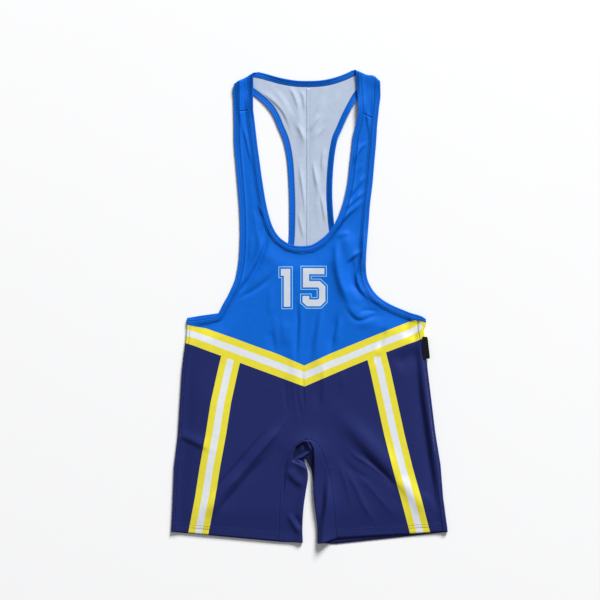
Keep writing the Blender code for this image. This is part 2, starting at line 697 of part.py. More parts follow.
def gusset_place(s, t):
    """Mid-surface of the gusset: s runs along its rows, t from the front seam (0) to the fold
    (1 to 2) and on to the back seam (3)."""
    half = CLOTH / 2
    row = spline(np.array(GUSSET), s)
    seam, fold, back = row[:, 0:2], row[:, 2:4], row[:, 4:6]
    way, way_back = unit(fold - seam), unit(fold - back)
    seam, back = seam + way * SEAM_GAP, back + way_back * SEAM_GAP
    above = gusset_underside(fold - way * (FOLD_RADIUS + half))
    radius = np.minimum(FOLD_RADIUS, above / 2.0)[:, None]
    turn = fold - way * (radius + half)
    angle = np.clip(t - 1.0, 0.0, 1.0) * math.pi
    upper = seam + (turn - seam) * np.clip(t, 0.0, 1.0)[:, None]
    lower = turn + (back - turn) * np.clip(t - 2.0, 0.0, 1.0)[:, None]
    flat = np.where((t <= 1.0)[:, None], upper, np.where((t >= 2.0)[:, None], lower, turn))
    flat = flat + way * radius * np.sin(angle)[:, None]
    top = gusset_underside(np.where((t <= 1.0)[:, None], upper, turn))
    height = half + top * (1.0 + np.cos(angle)) / 2.0
    return np.column_stack((flat, height))


def gusset_underside(points):
    """The gusset's front half: high at its seam and at its legs' folds, sunk in the hollow."""
    row = spline(np.array(GUSSET), np.linspace(0.0, len(GUSSET) - 1.0, 80))
    from_fold = np.abs(signed_distance(points, row[:, 2:4]))
    rise = FOLD_RISE * np.exp(-(np.maximum(from_fold - FOLD_RADIUS - CLOTH / 2, 0.0) / SIDE_FADE) ** 2)
    ring = np.array(HOLLOW + HOLLOW[:1])
    sunk = smooth_step(0.5 + signed_distance(points, ring) / HOLLOW_EDGE)
    return HOLLOW_FLOOR + (underside(points) + rise - HOLLOW_FLOOR) * (1.0 - sunk)


def make_gusset():
    s = np.arange(0.0, len(GUSSET) - 0.75, 0.5)
    t = np.concatenate((np.linspace(0.0, 1.0, GUSSET_COLUMNS + 1), (1.25, 1.5, 1.75),
                        np.linspace(2.0, 3.0, 3)))
    grid_s, grid_t = (a.ravel() for a in np.meshgrid(s, t, indexing="ij"))
    places = gusset_place(grid_s, grid_t)
    nudge = 0.02
    along = gusset_place(grid_s + nudge, grid_t) - gusset_place(grid_s - nudge, grid_t)
    across = gusset_place(grid_s, np.minimum(grid_t + nudge, 3.0))
    across = across - gusset_place(grid_s, np.maximum(grid_t - nudge, 0.0))
    ids = np.arange(len(places)).reshape(len(s), len(t))
    wall("leg_gusset", places, unit(np.cross(along, across)), quads(ids), CLOTH / 2, GUSSET_CLOTH)


def edge_ribs(surface, curve, outward, face, folds):
    """Ribs of a binding along an edge. Near a fold they turn to lie along it, so that the strip
    rolls over it without a twist; `folds` lists (distance of each place, way along the fold)."""
    ways = outward.copy()
    for distance, along in folds:
        near = np.exp(-(distance / RIB_TURN) ** 2)[:, None]
        slant = (outward * along).sum(axis=1)
        slant = np.copysign(np.maximum(np.abs(slant), LEAST_SLANT), slant)
        ways = ways * (1.0 - near) + near * along[None] / slant[:, None]
    starts, ends = curve + ways * SEAM_GAP, curve + ways * (SEAM_GAP + BINDING_WIDTH)
    return [(surface, a, b, face) for a, b in zip(starts, ends)]


def shoulder_fold_of(side, curve):
    start, along, out = shoulder_frame(side)
    return (curve - start) @ out, along


def side_fold_of(side, curve):
    distance = side * curve[:, 0] - side_tangent(side, curve[:, 1]) - ROLL_MARKS[-1] / 2
    away = np.where(curve[:, 1] < 100.0, distance, 1000.0)
    return away, np.array((0.0, 1.0))


def make_armhole_binding(side, name):
    rows = front_rows()
    edge = front_edges(side, rows[rows <= ARMHOLE_ROW])[1]
    ribs = edge_ribs(front_surface, edge, edge_outward(edge, side), -1, [])
    rows = back_rows(side)
    rows = rows[rows <= BACK_ARMHOLE_ROW][::-1]
    edge = back_edges(side, rows)[1]
    folds = [shoulder_fold_of(side, edge), side_fold_of(side, edge)]
    back = edge_ribs(back_surface(side), edge, edge_outward(edge, -side), 1, folds)
    strip(name, ribs + back[1:-1], BINDING / 2, BINDING_CLOTH)


def make_neck_binding():
    ribs = []
    for side in (RIGHT, LEFT):
        rows = front_rows()
        edge = front_edges(side, rows[rows <= NECK_ROW])[0]
        half = edge_ribs(front_surface, edge, edge_outward(edge, -side), -1, [])
        ribs += half if side == RIGHT else half[-2::-1]
    for side in (LEFT, RIGHT):
        rows = back_rows(side)
        edge = back_edges(side, rows[rows <= BACK_NECK_ROW])[0]
        folds = [shoulder_fold_of(side, edge)]
        half = edge_ribs(back_surface(side), edge, edge_outward(edge, -side), 1, folds)
        ribs += half[1:] if side == LEFT else half[-2:0:-1]
    strip("neck_binding", ribs, BINDING / 2, BINDING_CLOTH)


def make_label():
    """A small folded tab that lies on the rolled side and stands out past it."""
    ys = np.array((0.0, 0.3, 1.2, 3.0, 12.0, 20.0, 28.0, 36.5, 38.3, 39.2, 39.5))
    ys = LABEL_TOP + (LABEL_FOOT - LABEL_TOP) * ys / ys[-1]
    from_end = np.minimum(LABEL_TOP - ys, ys - LABEL_FOOT)
    cut = np.clip(1.0 - from_end / LABEL_CORNER, 0.0, 1.0)
    tip = LABEL_TIP_X - LABEL_CORNER * (1.0 - np.sqrt(1.0 - cut ** 2))
    root = np.maximum(lookup(SIDE[LEFT], ys, 2) + LABEL_SEAM, LABEL_ROOT_X)
    shares = np.tile(np.linspace(0.0, 1.0, 6), (len(ys), 1))
    grid = ruled_grid(np.column_stack((root, ys)), np.column_stack((tip, ys)), shares)
    places, ways = lay(label_surface, grid, LABEL / 2)
    ids = np.arange(places[..., 0].size).reshape(places.shape[:2])
    wall("side_label", places.reshape(-1, 3), ways.reshape(-1, 3), quads(ids), LABEL / 2, LABEL_CLOTH)


def label_surface(points, half):
    tangent = side_tangent(LEFT, points[:, 1])
    on_cloth = np.column_stack((np.minimum(points[:, 0], tangent), points[:, 1]))
    past = np.maximum(points[:, 0] - tangent, 0.0)
    lift = CLOTH + 2.0 * SEAM_GAP
    return np.column_stack((points, underside(on_cloth) + lift + half - LABEL_DROOP * past ** 2))


for item in list(bpy.data.objects):
    bpy.data.objects.remove(item, do_unlink=True)
ARMHOLE_LINE = {side: back_edge_line(side) for side in (RIGHT, LEFT)}
make_front()
make_back(RIGHT, "back_right")
make_back(LEFT, "back_left")
make_gusset()
make_neck_binding()
make_armhole_binding(RIGHT, "armhole_binding_right")
make_armhole_binding(LEFT, "armhole_binding_left")
make_label()
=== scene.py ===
"""The looks of a wrestling singlet that lies flat with its front up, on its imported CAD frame.

The tables of the cut are those of the CAD part, in millimetres and in its own places, and so are most of
the largest folds. The cloth is made again from them as thin, finely divided shells, with the finer creases,
the rolled edges at the seams, the turned hems, the stitching and the print.
"""
import json
import math
from itertools import groupby

import bmesh
import bpy
import numpy as np

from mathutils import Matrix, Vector
from mathutils.geometry import delaunay_2d_cdt

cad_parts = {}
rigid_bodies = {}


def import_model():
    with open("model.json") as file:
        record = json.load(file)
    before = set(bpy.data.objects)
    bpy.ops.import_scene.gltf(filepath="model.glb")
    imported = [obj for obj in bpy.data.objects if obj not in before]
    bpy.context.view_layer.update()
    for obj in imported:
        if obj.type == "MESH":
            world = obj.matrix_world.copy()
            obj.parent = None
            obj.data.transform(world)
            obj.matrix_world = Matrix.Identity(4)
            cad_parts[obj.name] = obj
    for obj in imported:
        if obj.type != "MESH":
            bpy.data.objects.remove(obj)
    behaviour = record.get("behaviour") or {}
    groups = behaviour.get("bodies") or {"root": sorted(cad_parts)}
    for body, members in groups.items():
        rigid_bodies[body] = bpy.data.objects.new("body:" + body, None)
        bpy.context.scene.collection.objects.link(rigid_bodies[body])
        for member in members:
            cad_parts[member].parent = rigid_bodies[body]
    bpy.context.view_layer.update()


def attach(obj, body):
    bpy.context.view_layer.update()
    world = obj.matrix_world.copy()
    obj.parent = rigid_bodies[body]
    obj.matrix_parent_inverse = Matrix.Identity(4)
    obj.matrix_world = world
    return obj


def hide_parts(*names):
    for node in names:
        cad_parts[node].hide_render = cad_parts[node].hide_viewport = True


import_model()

MM = 0.001
MIDDLE = (0.69, 0.04, 0.0)   # of the laid outline, in the tables' own places

# Cloth and strips
CLOTH = 1.2              # wall of the knitted cloth
BINDING = 1.5            # folded strip round the neck and the armholes
BINDING_WIDTH = 10.0
LABEL = 0.8
SEAM_GAP = 0.3           # between two pieces that are sewn together or lie on each other
LAYER = BINDING + SEAM_GAP   # the front's underside where it lies on the back

# How the upper layer lies on the lower one
LEDGE = 12.0             # the front keeps its height this far past the back's edge
RAMP = 25.0              # and then sinks to the floor within this distance
FOLD_RADIUS = 1.95       # half width of the rolled side and shoulder folds
FOLD_RISE = 2.4          # how much further the layers part at a fold
SIDE_FADE = 10.0         # distance over which that parting dies out
SHOULDER_FADE = 12.0
SHOULDER_MIDDLE, SHOULDER_REACH = 22.0, 30.0   # of the parting, along the shoulder's edge
SHOULDER_FOOT = 200.0    # the shoulder folds are above this height
UNDERARM_Y = 100.0       # and the side folds are below this one
RIB_TURN = 8.0           # within this distance of a fold a binding's ribs lie along the fold
LEAST_SLANT = 0.5        # least sine of the angle at which such a rib leaves the cloth's edge

# The shells: half their thickness inside, and at a sewn edge that rolls down to its seam
SHELL = 0.5
SEWN_EDGE = 0.16
SEAM_SHADE = 0.32        # painted shade: how much darker the cloth is coloured down in a seam, where less light reaches
SEAM_SHADE_WIDTH = 1.3
SIDE_SEAM_AWAY = 0.9     # the side seams get less painted shade, as if this much further away
LIT_WIDTH = 60.0         # over which the edge with the darker painted shade changes, from the neck's on the right to the armhole's, as the light falls
EDGE_MARKS = (0.0, 0.45, 1.0, 1.8)   # columns near a sewn edge
EDGE_ROLL = 1.8
SHOULDER_SEAM = 1.5      # the shoulder seams are pressed flatter, as if this much further away

# Mesh density
ROW_STEP = 0.1
BACK_STEP = 0.125
FRONT_COLUMNS = 68
FLAT_COLUMNS = 38        # of a back row, before its outermost stretch
GUSSET_STEP = 0.0625
GUSSET_COLUMNS = 36
GUSSET_MARKS = (0.0, 0.01, 0.025, 0.045)   # places next to its front seam, as shares of its width
FOLD_COLUMNS, UNDER_COLUMNS = 12, 10   # round its fold and below it
GUSSET_PLACES = 80       # along the gusset, for the height of its front half
ROLL_MARKS = np.linspace(0.0, 1.0, 13) * math.pi * FOLD_RADIUS   # places round a fold
ROLL_TAIL = 1.5          # from the ends of a fold to the next place
TAIL_COLUMNS = 5         # of a back row, past the side fold

RIGHT, LEFT = SIDES = -1, 1   # the wearer's sides, as signs of X
FAR = 99.0               # stands for a distance that isn't near
# Each piece reads the cloth's pattern at its own depth (the front at 0), so that no two look the same
PATTERN_DEPTH = {"back": 7.0, "gusset": 14.0, "binding": 21.0, "label": 30.0, "allowance": 35.0}
GUSSET_PATTERN = (30.0, 20.0)   # millimetres of its pattern across and along for each step of t and s

# Front panel from the shoulder seam to the foot of the armhole: the cloth's edge on the neck side
# (then the centre line) and on the armhole side.
# neck_x, neck_y, armhole_x, armhole_y
FRONT_UPPER = {
    RIGHT: (
        (-110, 351.5, -124.5, 349),
        (-107, 327.5, -124, 326),
        (-104.5, 306, -124, 304.5),
        (-102, 284.5, -123, 283),
        (-99, 263, -121, 261.5),
        (-93, 220, -117.5, 220),
        (-85.5, 177, -114.5, 181),
        (-75, 141, -113, 141.5),
        (-61, 118.5, -113.5, 113),
        (-42, 104.5, -115, 87.5),
        (-26, 99.5, -118, 66),
        (-10.5, 98.5, -122.5, 46.5),
        (-10, 70, -130, 28.5),
        (-9.5, 41, -138.5, 11.5),
        (-9.5, 14.5, -149.5, -3.5),
        (-9, -10.5, -164, -18),
        (-9, -36, -181, -26),
        (-8.5, -61, -197, -30),
        (-8, -84, -213, -31.5),
    ),
    LEFT: (
        (97.5, 345, 113, 337.5),
        (94, 325, 111.5, 321.5),
        (89, 306, 110.5, 304.5),
        (86.5, 284.5, 109, 284.5),
        (84, 263, 107, 263),
        (79, 220, 103.5, 222),
        (70, 181, 99, 184.5),
        (58, 150.5, 96.5, 150.5),
        (45, 129.5, 94, 121.5),
        (27.5, 113, 92, 95),
        (8, 101.5, 91.5, 70),
        (-10.5, 98.5, 94.5, 47.5),
        (-10, 70, 103, 28.5),
        (-9.5, 41, 115.5, 13),
        (-9.5, 14.5, 130.5, 1.5),
        (-9, -10.5, 147.5, -7.5),
        (-9, -36, 164, -14.5),
        (-8.5, -61, 179.5, -20.5),
        (-8, -84, 194, -24.5),
    ),
}
NECK_ROW = 11            # the row at the bottom of the front neck
ARMHOLE_ROW = 18         # the row at the foot of the armhole
FRONT_MIDDLE = -10.5     # x of the bottom of the neck

# Rows across the waist and hips: height at the centre of the front, at the centre seam of the back
# and at the side seams, which both share
# front_y, back_y, side_y
WAIST = (
    (-109, -118, -54),
    (-138, -143, -86),
    (-170, -174, -122),
    (-202.5, -208, -161),
    (-236.5, -243.5, -193.5),
)
# Rows down the legs, which all pieces share: height at the side seams
LEG_SIDE_Y = (-220, -249, -277.5, -306, -334.5, -360, -381.5, -401.5)

# The centre line of the front, and of the back
# y, x
FRONT_CENTRE = ((98.5, -10.5), (-84, -8), (-236.5, -6.5))
BACK_CENTRE = ((394, -1), (84, -1), (-80, -2), (-243.5, -6.5))

# Outer edge of the laid garment at the sides, and the side seam that lies just inside it on the front
# y, edge_x, seam_x
SIDE = {
    RIGHT: (
        (12.5, -219.5, -213.5),
        (-26, -219.5, -213.5),
        (-36, -218.5, -213),
        (-55.5, -220, -214.5),
        (-84, -224, -218),
        (-113, -227.5, -221.5),
        (-170, -231, -225.5),
        (-227.5, -234.5, -229),
        (-256, -238, -232),
        (-284.5, -241.5, -235.5),
        (-313, -242.5, -236.5),
        (-370.5, -245, -239),
        (-406.5, -247, -240.5),
    ),
    LEFT: (
        (12.5, 210, 194),
        (-27, 210, 194),
        (-41, 207, 194.5),
        (-55.5, 207, 197.5),
        (-80.5, 209, 201.5),
        (-113, 212.5, 206.5),
        (-166.5, 219, 213.5),
        (-224, 226, 220),
        (-283, 235.5, 226.5),
        (-340, 240, 231.5),
        (-395.5, 247.5, 237.5),
        (-406.5, 248.5, 238),
    ),
}

# Shoulder folds: the outer and the inner end of the edge
SHOULDER = {
    RIGHT: ((-136.0, 400.0), (-97.5, 419.5)),
    LEFT: ((127.0, 404.5), (82.0, 424.5)),
}

# Back, the strap's stretch that has come over onto the front, from the shoulder seam to the fold
# neck_x, neck_y, armhole_x, armhole_y
BACK_OVER = {
    RIGHT: (
        (-110, 351.5, -124.5, 349),
        (-110, 374, -125, 370.5),
        (-109.5, 394, -125.5, 387.5),
        (-109.5, 413.5, -125.5, 405.5),
    ),
    LEFT: (
        (97.5, 345, 113, 337.5),
        (97, 368.5, 115.5, 363.5),
        (95, 393, 116.5, 386.5),
        (93.5, 419.5, 117, 409),
    ),
}
# Back, lying on the floor, from the shoulder to the underarm
# neck_x (then the centre seam), neck_y, armhole_x, armhole_y
BACK_UPPER = {
    RIGHT: (
        (-98.5, 411.5, -112, 399),
        (-86, 409, -100, 392),
        (-73.5, 405.5, -88, 383),
        (-56, 400.5, -75, 372),
        (-39, 397, -63.5, 359.5),
        (-20.5, 394.5, -54, 344),
        (-1, 394, -46.5, 326),
        (-1, 363.5, -37.5, 304.5),
        (-1, 327.5, -32, 283),
        (-1, 288, -28.5, 259.5),
        (-1, 245, -26.5, 231),
        (-1, 200.5, -25, 191.5),
        (-1, 155.5, -25, 152),
        (-1, 116.5, -26.5, 116.5),
        (-1, 84, -31.5, 86),
        (-1, 55.5, -41, 57.5),
        (-1.5, 28.5, -59, 30.5),
        (-1.5, 5.5, -84, 8),
        (-1.5, -16, -113, -8),
        (-2, -37.5, -141.5, -18),
        (-2, -59, -170, -22.5),
        (-2, -80.5, -195, -26),
    ),
    LEFT: (
        (82.5, 414.5, 103, 402),
        (70, 408.5, 90.5, 393.5),
        (57.5, 403.5, 80, 382.5),
        (43, 399, 71.5, 368),
        (28.5, 396, 64, 354),
        (14.5, 394.5, 56.5, 338.5),
        (-1, 394, 49.5, 322),
        (-1, 363.5, 42, 305),
        (-1, 327.5, 37.5, 284.5),
        (-1, 288, 34.5, 263),
        (-1, 245, 32, 231),
        (-1, 200.5, 31.5, 195),
        (-1, 155.5, 34, 155.5),
        (-1, 116.5, 38.5, 118),
        (-1, 84, 43, 87.5),
        (-1, 55.5, 50, 59),
        (-1.5, 28.5, 62.5, 32),
        (-1.5, 5.5, 79.5, 10.5),
        (-1.5, -16, 101, -7),
        (-2, -37.5, 125.5, -20.5),
        (-2, -59, 150.5, -28.5),
        (-2, -80.5, 175.5, -30.5),
    ),
}
BACK_NECK_ROW = 10       # the row at the bottom of the back neck, where the centre seam starts
BACK_ARMHOLE_ROW = 26    # the row at the foot of the armhole
BACK_FOOT_Y = -99.0      # of the centre seam, at that row

# Inner-leg gusset from the right hem over the crotch to the left hem: the seam on the front, the
# fold at the inner leg, the seam on the back
# seam_x, seam_y, fold_x, fold_y, back_x, back_y
GUSSET = (
    (-55, -419, -11.5, -421.5, -48.5, -420.5),
    (-53, -385, -11.5, -389.5, -46.5, -386.5),
    (-52, -345.5, -9.5, -358, -45, -349),
    (-49, -320.5, -5.5, -329.5, -41, -322),
    (-46, -297, -2, -308, -37.5, -299),
    (-42, -281, -2.5, -292.5, -34, -279),
    (-33, -259.5, -5.8, -283, -28.5, -265),
    (-23.5, -245.5, -8.6, -275, -20.5, -251.5),
    (-6.5, -236.5, -7, -270.5, -6.5, -243.5),
    (8, -238.5, -4.2, -274.5, 7, -249),
    (19.5, -251, 0.2, -283, 15, -258),
    (26, -266, 4.5, -292.5, 21.5, -272),
    (33, -286.5, 7, -311.5, 27, -292),
    (39.5, -311, 8, -336.5, 33, -317),
    (43.5, -339.5, 10.5, -360, 37.5, -343.5),
    (46, -374, 14, -387, 40.5, -379.5),
    (49.5, -413.5, 15.5, -423, 45, -424),
)
APEX = 8                 # the gusset's row at the crotch
LEG_ROWS = 8
LEG_TOP = ARMHOLE_ROW + len(WAIST)        # the front's row at the crotch
BACK_LEG_TOP = BACK_ARMHOLE_ROW + len(WAIST)
ROW_ERROR = 0.01         # rows closer than this are one row
FINE_ROWS = 400          # places at which a fold is looked for
SHOULDER_ROWS = (1.0, 5.0)   # the back rolls over the shoulder fold between these rows
BACK_LINE_START = 1.5    # the back's edge lines start at this row
SMALLEST = 1e-12         # least length that a way is divided by

# The hollow at the crotch, where the gusset sinks back between its front flaps
# x, y
HOLLOW = (
    (-10.5, -240.5), (-23.5, -249.5), (-29, -265), (-29.5, -274), (-16, -280),
    (0, -289), (8, -313), (9, -283), (7.5, -252.5), (2, -242.5),
)
HOLLOW_EDGE = 3.6        # width of the step down into it
HOLLOW_FLOOR = 3.4       # underside of the gusset's front half inside it
CROTCH_AT = (-4.0, -262.0)
CROTCH_SPREAD = 30.0
CROTCH_RISE = 8.5

# Largest folds of the front, as soft ridges
# x0, y0, x1, y1, bow to the left of the way, half width, height
FRONT_FOLDS = (
    (-84, 180, -84, 62.5, 14.5, 12, 2.2),
    (-84, 62.5, -140, 10, -3.5, 12, 2.2),
    (61, 130.5, 79, 80.5, 2, 12.5, 3.2),
    (50, 102, 68, 2, -3.5, 12, 2.4),
    (68, 2, 116.5, -34, -3.5, 12, 2.2),
    (77, 30.5, 141.5, -9, 3.5, 12.5, 1.8),
    (57.5, 152, 100, 197, 2, 9, 1.8),
    (-44, -215, -114, -290, -5.5, 14.5, 3.2),
    (-114, -290, -182, -383, -5.5, 14.5, 4.2),
    (50, -190, 160, -312, 5.5, 16, 3.4),
    (154, -306, 211, -367, 3.5, 13.5, 3.4),
    (68, -279, 172, -386.5, 0, 11, 0.8),
    (45, -263, 109, -377.5, -3.5, 11, 0.8),
    (-25, -41, -18, -200, -2, 11, 1.6),
    (16, -5.5, 23.5, -160, -3.5, 11, 1.6),
)
# Soft folds inside the back, seen through the neck
BACK_FOLDS = (
    (-30, 384, -10.5, 277.5, 3.5, 7, 1.4),
    (30, 384, 7, 281, -3.5, 7, 1.4),
    (-66, 392, -22, 322, 4, 6, 1.2),
    (60, 392, 26, 312, -3, 6, 1.2),
    (-12.5, 263, -14.5, 150, 0, 7, 1),
    (14.5, 254, 18, 150, -2, 7, 1),
)

# Side label: it starts at the left side seam and stands out past the fold
LABEL_TOP, LABEL_FOOT = -53.0, -92.5
LABEL_TIP_X = (211.6, 216.2)   # at its top and at its foot
LABEL_ROOT_X = 202.5
LABEL_SEAM = 1.5         # least distance from the seam
LABEL_CORNER = 3.0
LABEL_DROOP = 0.012      # fall of its free end, per square millimetre past the fold

# ---------------------------------------------------------------- finer form, print and stitching

# Finer creases: ridges, and troughs with a height below 0, each along a smooth line
# half width on the left of its way, half width on the right, height, then the places of the line
FRONT_CREASES = (
    # straps
    (2.8, 5, -1.5, (-131, 370), (-124, 331), (-114.5, 290), (-107.5, 254), (-104, 224)),
    (4, 4, 1.6, (-119.5, 331), (-110, 290), (-103, 250)),
    (4, 7, 4.6, (-126, 480), (-124.5, 430), (-123.5, 395), (-122.5, 360), (-121.5, 325), (-121, 275)),
    (5, 4.5, 5, (-99, 455), (-99.5, 402), (-100.5, 375), (-101.5, 345)),
    (4.5, 2.5, 2, (101, 385), (101.5, 355), (106, 330), (108, 300)),
    (9, 5, 5, (91, 450), (90.5, 400), (89.5, 375), (87, 345), (83, 312)),
    (2.2, 5, 2.9, (106, 292.5), (95, 287), (86, 271.5), (80, 254)),
    (3.5, 3.5, 1, (82.5, 243.5), (100, 256)),
    (2.2, 5, 2.9, (106, 234), (95, 226.5), (80.5, 208.5), (72.5, 193)),
    (2.2, 5.5, 3.5, (104, 208.5), (91.5, 199.5), (73.5, 183.5), (63.5, 170)),
    (2.4, 5.5, 3.6, (97, 186.5), (77, 172.5), (61, 156.5), (49.5, 140.5), (36.5, 125)),
    (3, 3, 1.2, (-91.5, 184.5), (-81, 163)),
    (5, 4, -1.3, (-100, 184.5), (-84.5, 154)),
    # chest
    (4.6, 4.6, -3.3, (-73.5, 141), (-77, 120), (-80.5, 102), (-91.5, 75), (-111, 43),
     (-138, 9)),
    (5, 7, 3, (-80.5, 148), (-84, 122), (-88, 104), (-98.5, 78), (-117.5, 47), (-140, 17)),
    (4.5, 5, -2, (-55.5, 70), (-73.5, 48.5), (-96.5, 30.5), (-123.5, 16), (-138, 2)),
    (5, 5, 1.3, (-102, 134), (-107.5, 80.5)),
    (6, 6, 1.2, (-68, 41), (-70, -19.5)),
    (3, 8, -1.5, (-66, -38), (-64, -60), (-61, -84)),
    (6, 13, 1.5, (-38, -22), (-36, -50), (-38, -74)),
    (2.8, 3.6, -2.6, (-21.5, 20), (-20.5, -23), (-21.5, -50), (-23, -77), (-23, -106)),
    (5, 3, 1, (-15, 20), (-14.5, -41), (-16, -100)),
    (5, 5, -1.7, (14.5, -2), (9, -41), (2, -77), (-2, -95)),
    (4.5, 4.5, 1.4, (27, 10), (19, -32), (12.5, -68), (7, -92)),
    (3.4, 8, -2.9, (50, -8), (46.5, -32), (41.5, -57), (40, -86)),
    (5, 4, 1.4, (56, -14), (52.5, -41), (48.5, -70)),
    (4.5, 4.5, 0.9, (-45, -16), (-45, -68)),
    (5, 5, 0.8, (-61, -9), (-59, -68)),
    (6.5, 6, 3.8, (50, 132), (49, 80.5), (55.5, 46.5), (66, 18), (74, -4)),
    (3.4, 5, -2, (62.5, 7), (71.5, -10.5), (84, -23), (98.5, -23), (114.5, -16), (129, -15)),
    (7, 3.2, 3.6, (98, 160), (97.6, 127), (96.7, 102), (95.5, 80.5), (88.5, 66), (86, 50),
     (92.5, 32), (106.5, 17), (122, 8)),
    (7, 15, 2.2, (99, 142), (97, 110), (96, 80), (92, 58)),
    (4, 2.6, 2.4, (66, 78), (78, 90), (95, 101)),
    (4.2, 8, -3, (76, 104), (76.5, 72), (79, 48), (88, 28), (101, 12)),
    (8, 8, 1, (73.5, 41), (80.5, 19.5), (95, 2)),
    (3.5, 3.5, -1, (87.5, -12), (102, -6), (125.5, -8)),
    (4.5, 4.5, 1.8, (48.5, 123.5), (61, 130), (75, 130.5)),
    # chevron
    (5, 3.8, -2.7, (123, -80), (128.5, -64), (132, -52), (138, -34)),
    (3, 3, -1.2, (116.5, -102), (123.5, -80.5)),
    (6, 3.8, -3.2, (171, -62), (177, -46), (178.5, -36), (175.5, -16)),
    (7, 3.4, -3.3, (187, -66), (189, -54), (191, -42), (194, -32), (197.5, -20)),
    (13, 16, -3.3, (152, -104), (170, -94), (184, -87), (200, -80)),
    # front of the shorts
    (2.2, 2.4, -1.6, (-44, -122), (-41, -157.5), (-39.5, -190)),
    (2, 2.2, -1, (-36, -126), (-32, -157.5), (-29.5, -184)),
    (2, 2.2, -1.7, (-23, -132), (-20, -166.5), (-16, -186), (-13.5, -208)),
    (2.2, 2.4, -1.7, (-11.5, -108), (-10, -163), (-9, -190)),
    (2.6, 13, -2, (21.5, -95), (20, -157.5), (18, -192)),
    (5, 5, 1, (61, -116.5), (59, -145)),
    # wearer's right leg
    (12, 3.2, 3.2, (-236, -228), (-213, -237), (-195, -246), (-178, -256)),
    (40, 28, 3, (-170, -95), (-185, -230), (-200, -330)),
    (3.5, 4.6, -3.2, (-61, -205), (-76, -223), (-108.5, -261), (-133.5, -289.5), (-155, -314.5),
     (-182, -347)),
    (3, 6, 3.8, (-33, -192), (-65, -233), (-97.5, -270.5), (-122.5, -299.5), (-144, -324),
     (-172, -357)),
    (11, 3, -3.3, (-68, -254), (-89, -278), (-114, -306), (-136, -331.5), (-157, -356.5),
     (-176, -378)),
    # wearer's left leg
    (22, 8, 2.6, (70, -214), (95, -241), (113, -258), (131, -276),
     (163, -308)),
    (3.4, 7, -3.1, (86, -254), (104, -268), (122, -285), (140, -303), (155, -320),
     (168, -333)),
    (3.5, 2, 1.4, (64.5, -249), (86, -268.5), (109, -283.5), (131, -301), (153, -321)),
    (4, 9, -1.2, (55.5, -259.5), (70, -283), (91, -299), (116, -311)),
    (2, 2, 0.9, (77, -292), (95, -306), (118, -333), (141.5, -360), (159, -381)),
    (5, 3, 1.5, (64.5, -288), (84, -324), (95, -349), (107, -370.5), (120, -388)),
    (2.6, 2.6, 0.8, (48, -265), (61, -301), (71.5, -336.5), (82, -372)),
    (5, 18, -3.3, (190, -84), (193, -110), (200, -166), (211, -236), (220, -300), (228, -360)),
    (9, 4, 6.4, (195.5, -40), (200, -104), (207, -166), (218, -238), (227.5, -310), (236, -376)),
    (5, 5, 1.2, (200, -330), (214, -345), (226, -372)),
    # inner legs
    (2, 2, -2.2, (-36, -266), (-41, -284.5), (-44, -302.5), (-45.5, -324), (-47.5, -345.5)),
    (11, 6, 3.4, (-37.5, -285), (-30, -302), (-18, -313), (-5.5, -320)),
    (5.5, 4, 2.6, (-39, -367), (-26, -390), (-14.5, -408)),
    (4.5, 4.5, -2, (-25, -371), (-12, -397)),
    (14, 6, 9.6, (36, -290), (34, -318.5), (33, -345.5), (30.5, -363.5), (27.5, -381.5), (25, -399),
     (24, -417), (23.5, -450), (23.5, -480)),
)
FLOOR_GAP = 0.15         # least gap below the front's shell
# Finer creases inside the racerback, in the same columns
BACK_CREASES = (
    (7, 2.6, 1.7, (-87.5, 386.5), (-68, 372.5), (-50, 354.5), (-39.5, 336.5), (-32, 313)),
    (5, 2.2, 1.6, (-34, 394), (-25, 374), (-18, 352)),
    (4, 2, 1.4, (-17, 390), (-10, 374), (-9, 352)),
    (4, 3, 1.4, (-24, 329.5), (-14, 312), (-6, 291)),
    (5, 2.2, 1.6, (1, 311), (10, 329), (21, 345)),
    (4, 4, 0.8, (8, 304.5), (18, 312), (34, 326)),
    (4, 2.2, 1.4, (-18, 258), (-12.5, 218), (-9, 191.5), (-7, 162)),
    (5, 2.2, 1.7, (7, 260), (10.5, 234.5), (14.5, 213)),
    (5, 2.2, 1.5, (27, 287), (23.5, 258), (25, 238)),
    (5, 2.2, 1.6, (19.5, 207), (25, 179), (29, 150)),
    (4, 2.2, 1.3, (-19.5, 172), (-14.5, 147), (-9, 121)),
    (3.5, 3.5, 0.8, (14, 236), (17, 196)),
)
CREASE_STEPS = 13        # places along a crease
CREASE_REACH = 2.6       # half widths from a crease at which it is no longer felt
CREASE_FADE, CREASE_END = 0.35, 0.1   # share of its length in which it fades, and what is left at its end
RIDGE_FADE, RIDGE_END = 0.3, 0.25     # the same for the largest folds
FOLD_CALM, CREASE_CALM, BOUND_CALM = 12.0, 5.0, 25.0   # reach from the side folds in which they die out
FLOOR_BEND = 0.1         # how softly a crease bends where it meets the layer below

# The front stands up a little well inside its edges
BILLOW = 3.4
BILLOW_FOOT = 4.0        # it starts this far inside an edge
BILLOW_REACH = 32.0
HEM_Y, HEM_REACH = -415.0, 60.0   # and it sinks towards the hems
# Its bound edges stand above the cloth beside them
BOUND_RISE = 1.7
BOUND_FLANK = 5.0
BOUND_TOP, BOUND_FADE = 385.0, 30.0
# The racerback's bindings curl up at their outer edge
CURL = {RIGHT: 1.0, LEFT: 5.4}
CURL_TURN = 1.1          # it is up after this part of the width, as 1 over it
NECK_CURL = 2.0
NECK_CURL_REACH = 78.0
CURL_FOOT, CURL_TOP = 128.0, 385.0
CURL_FADE = 35.0

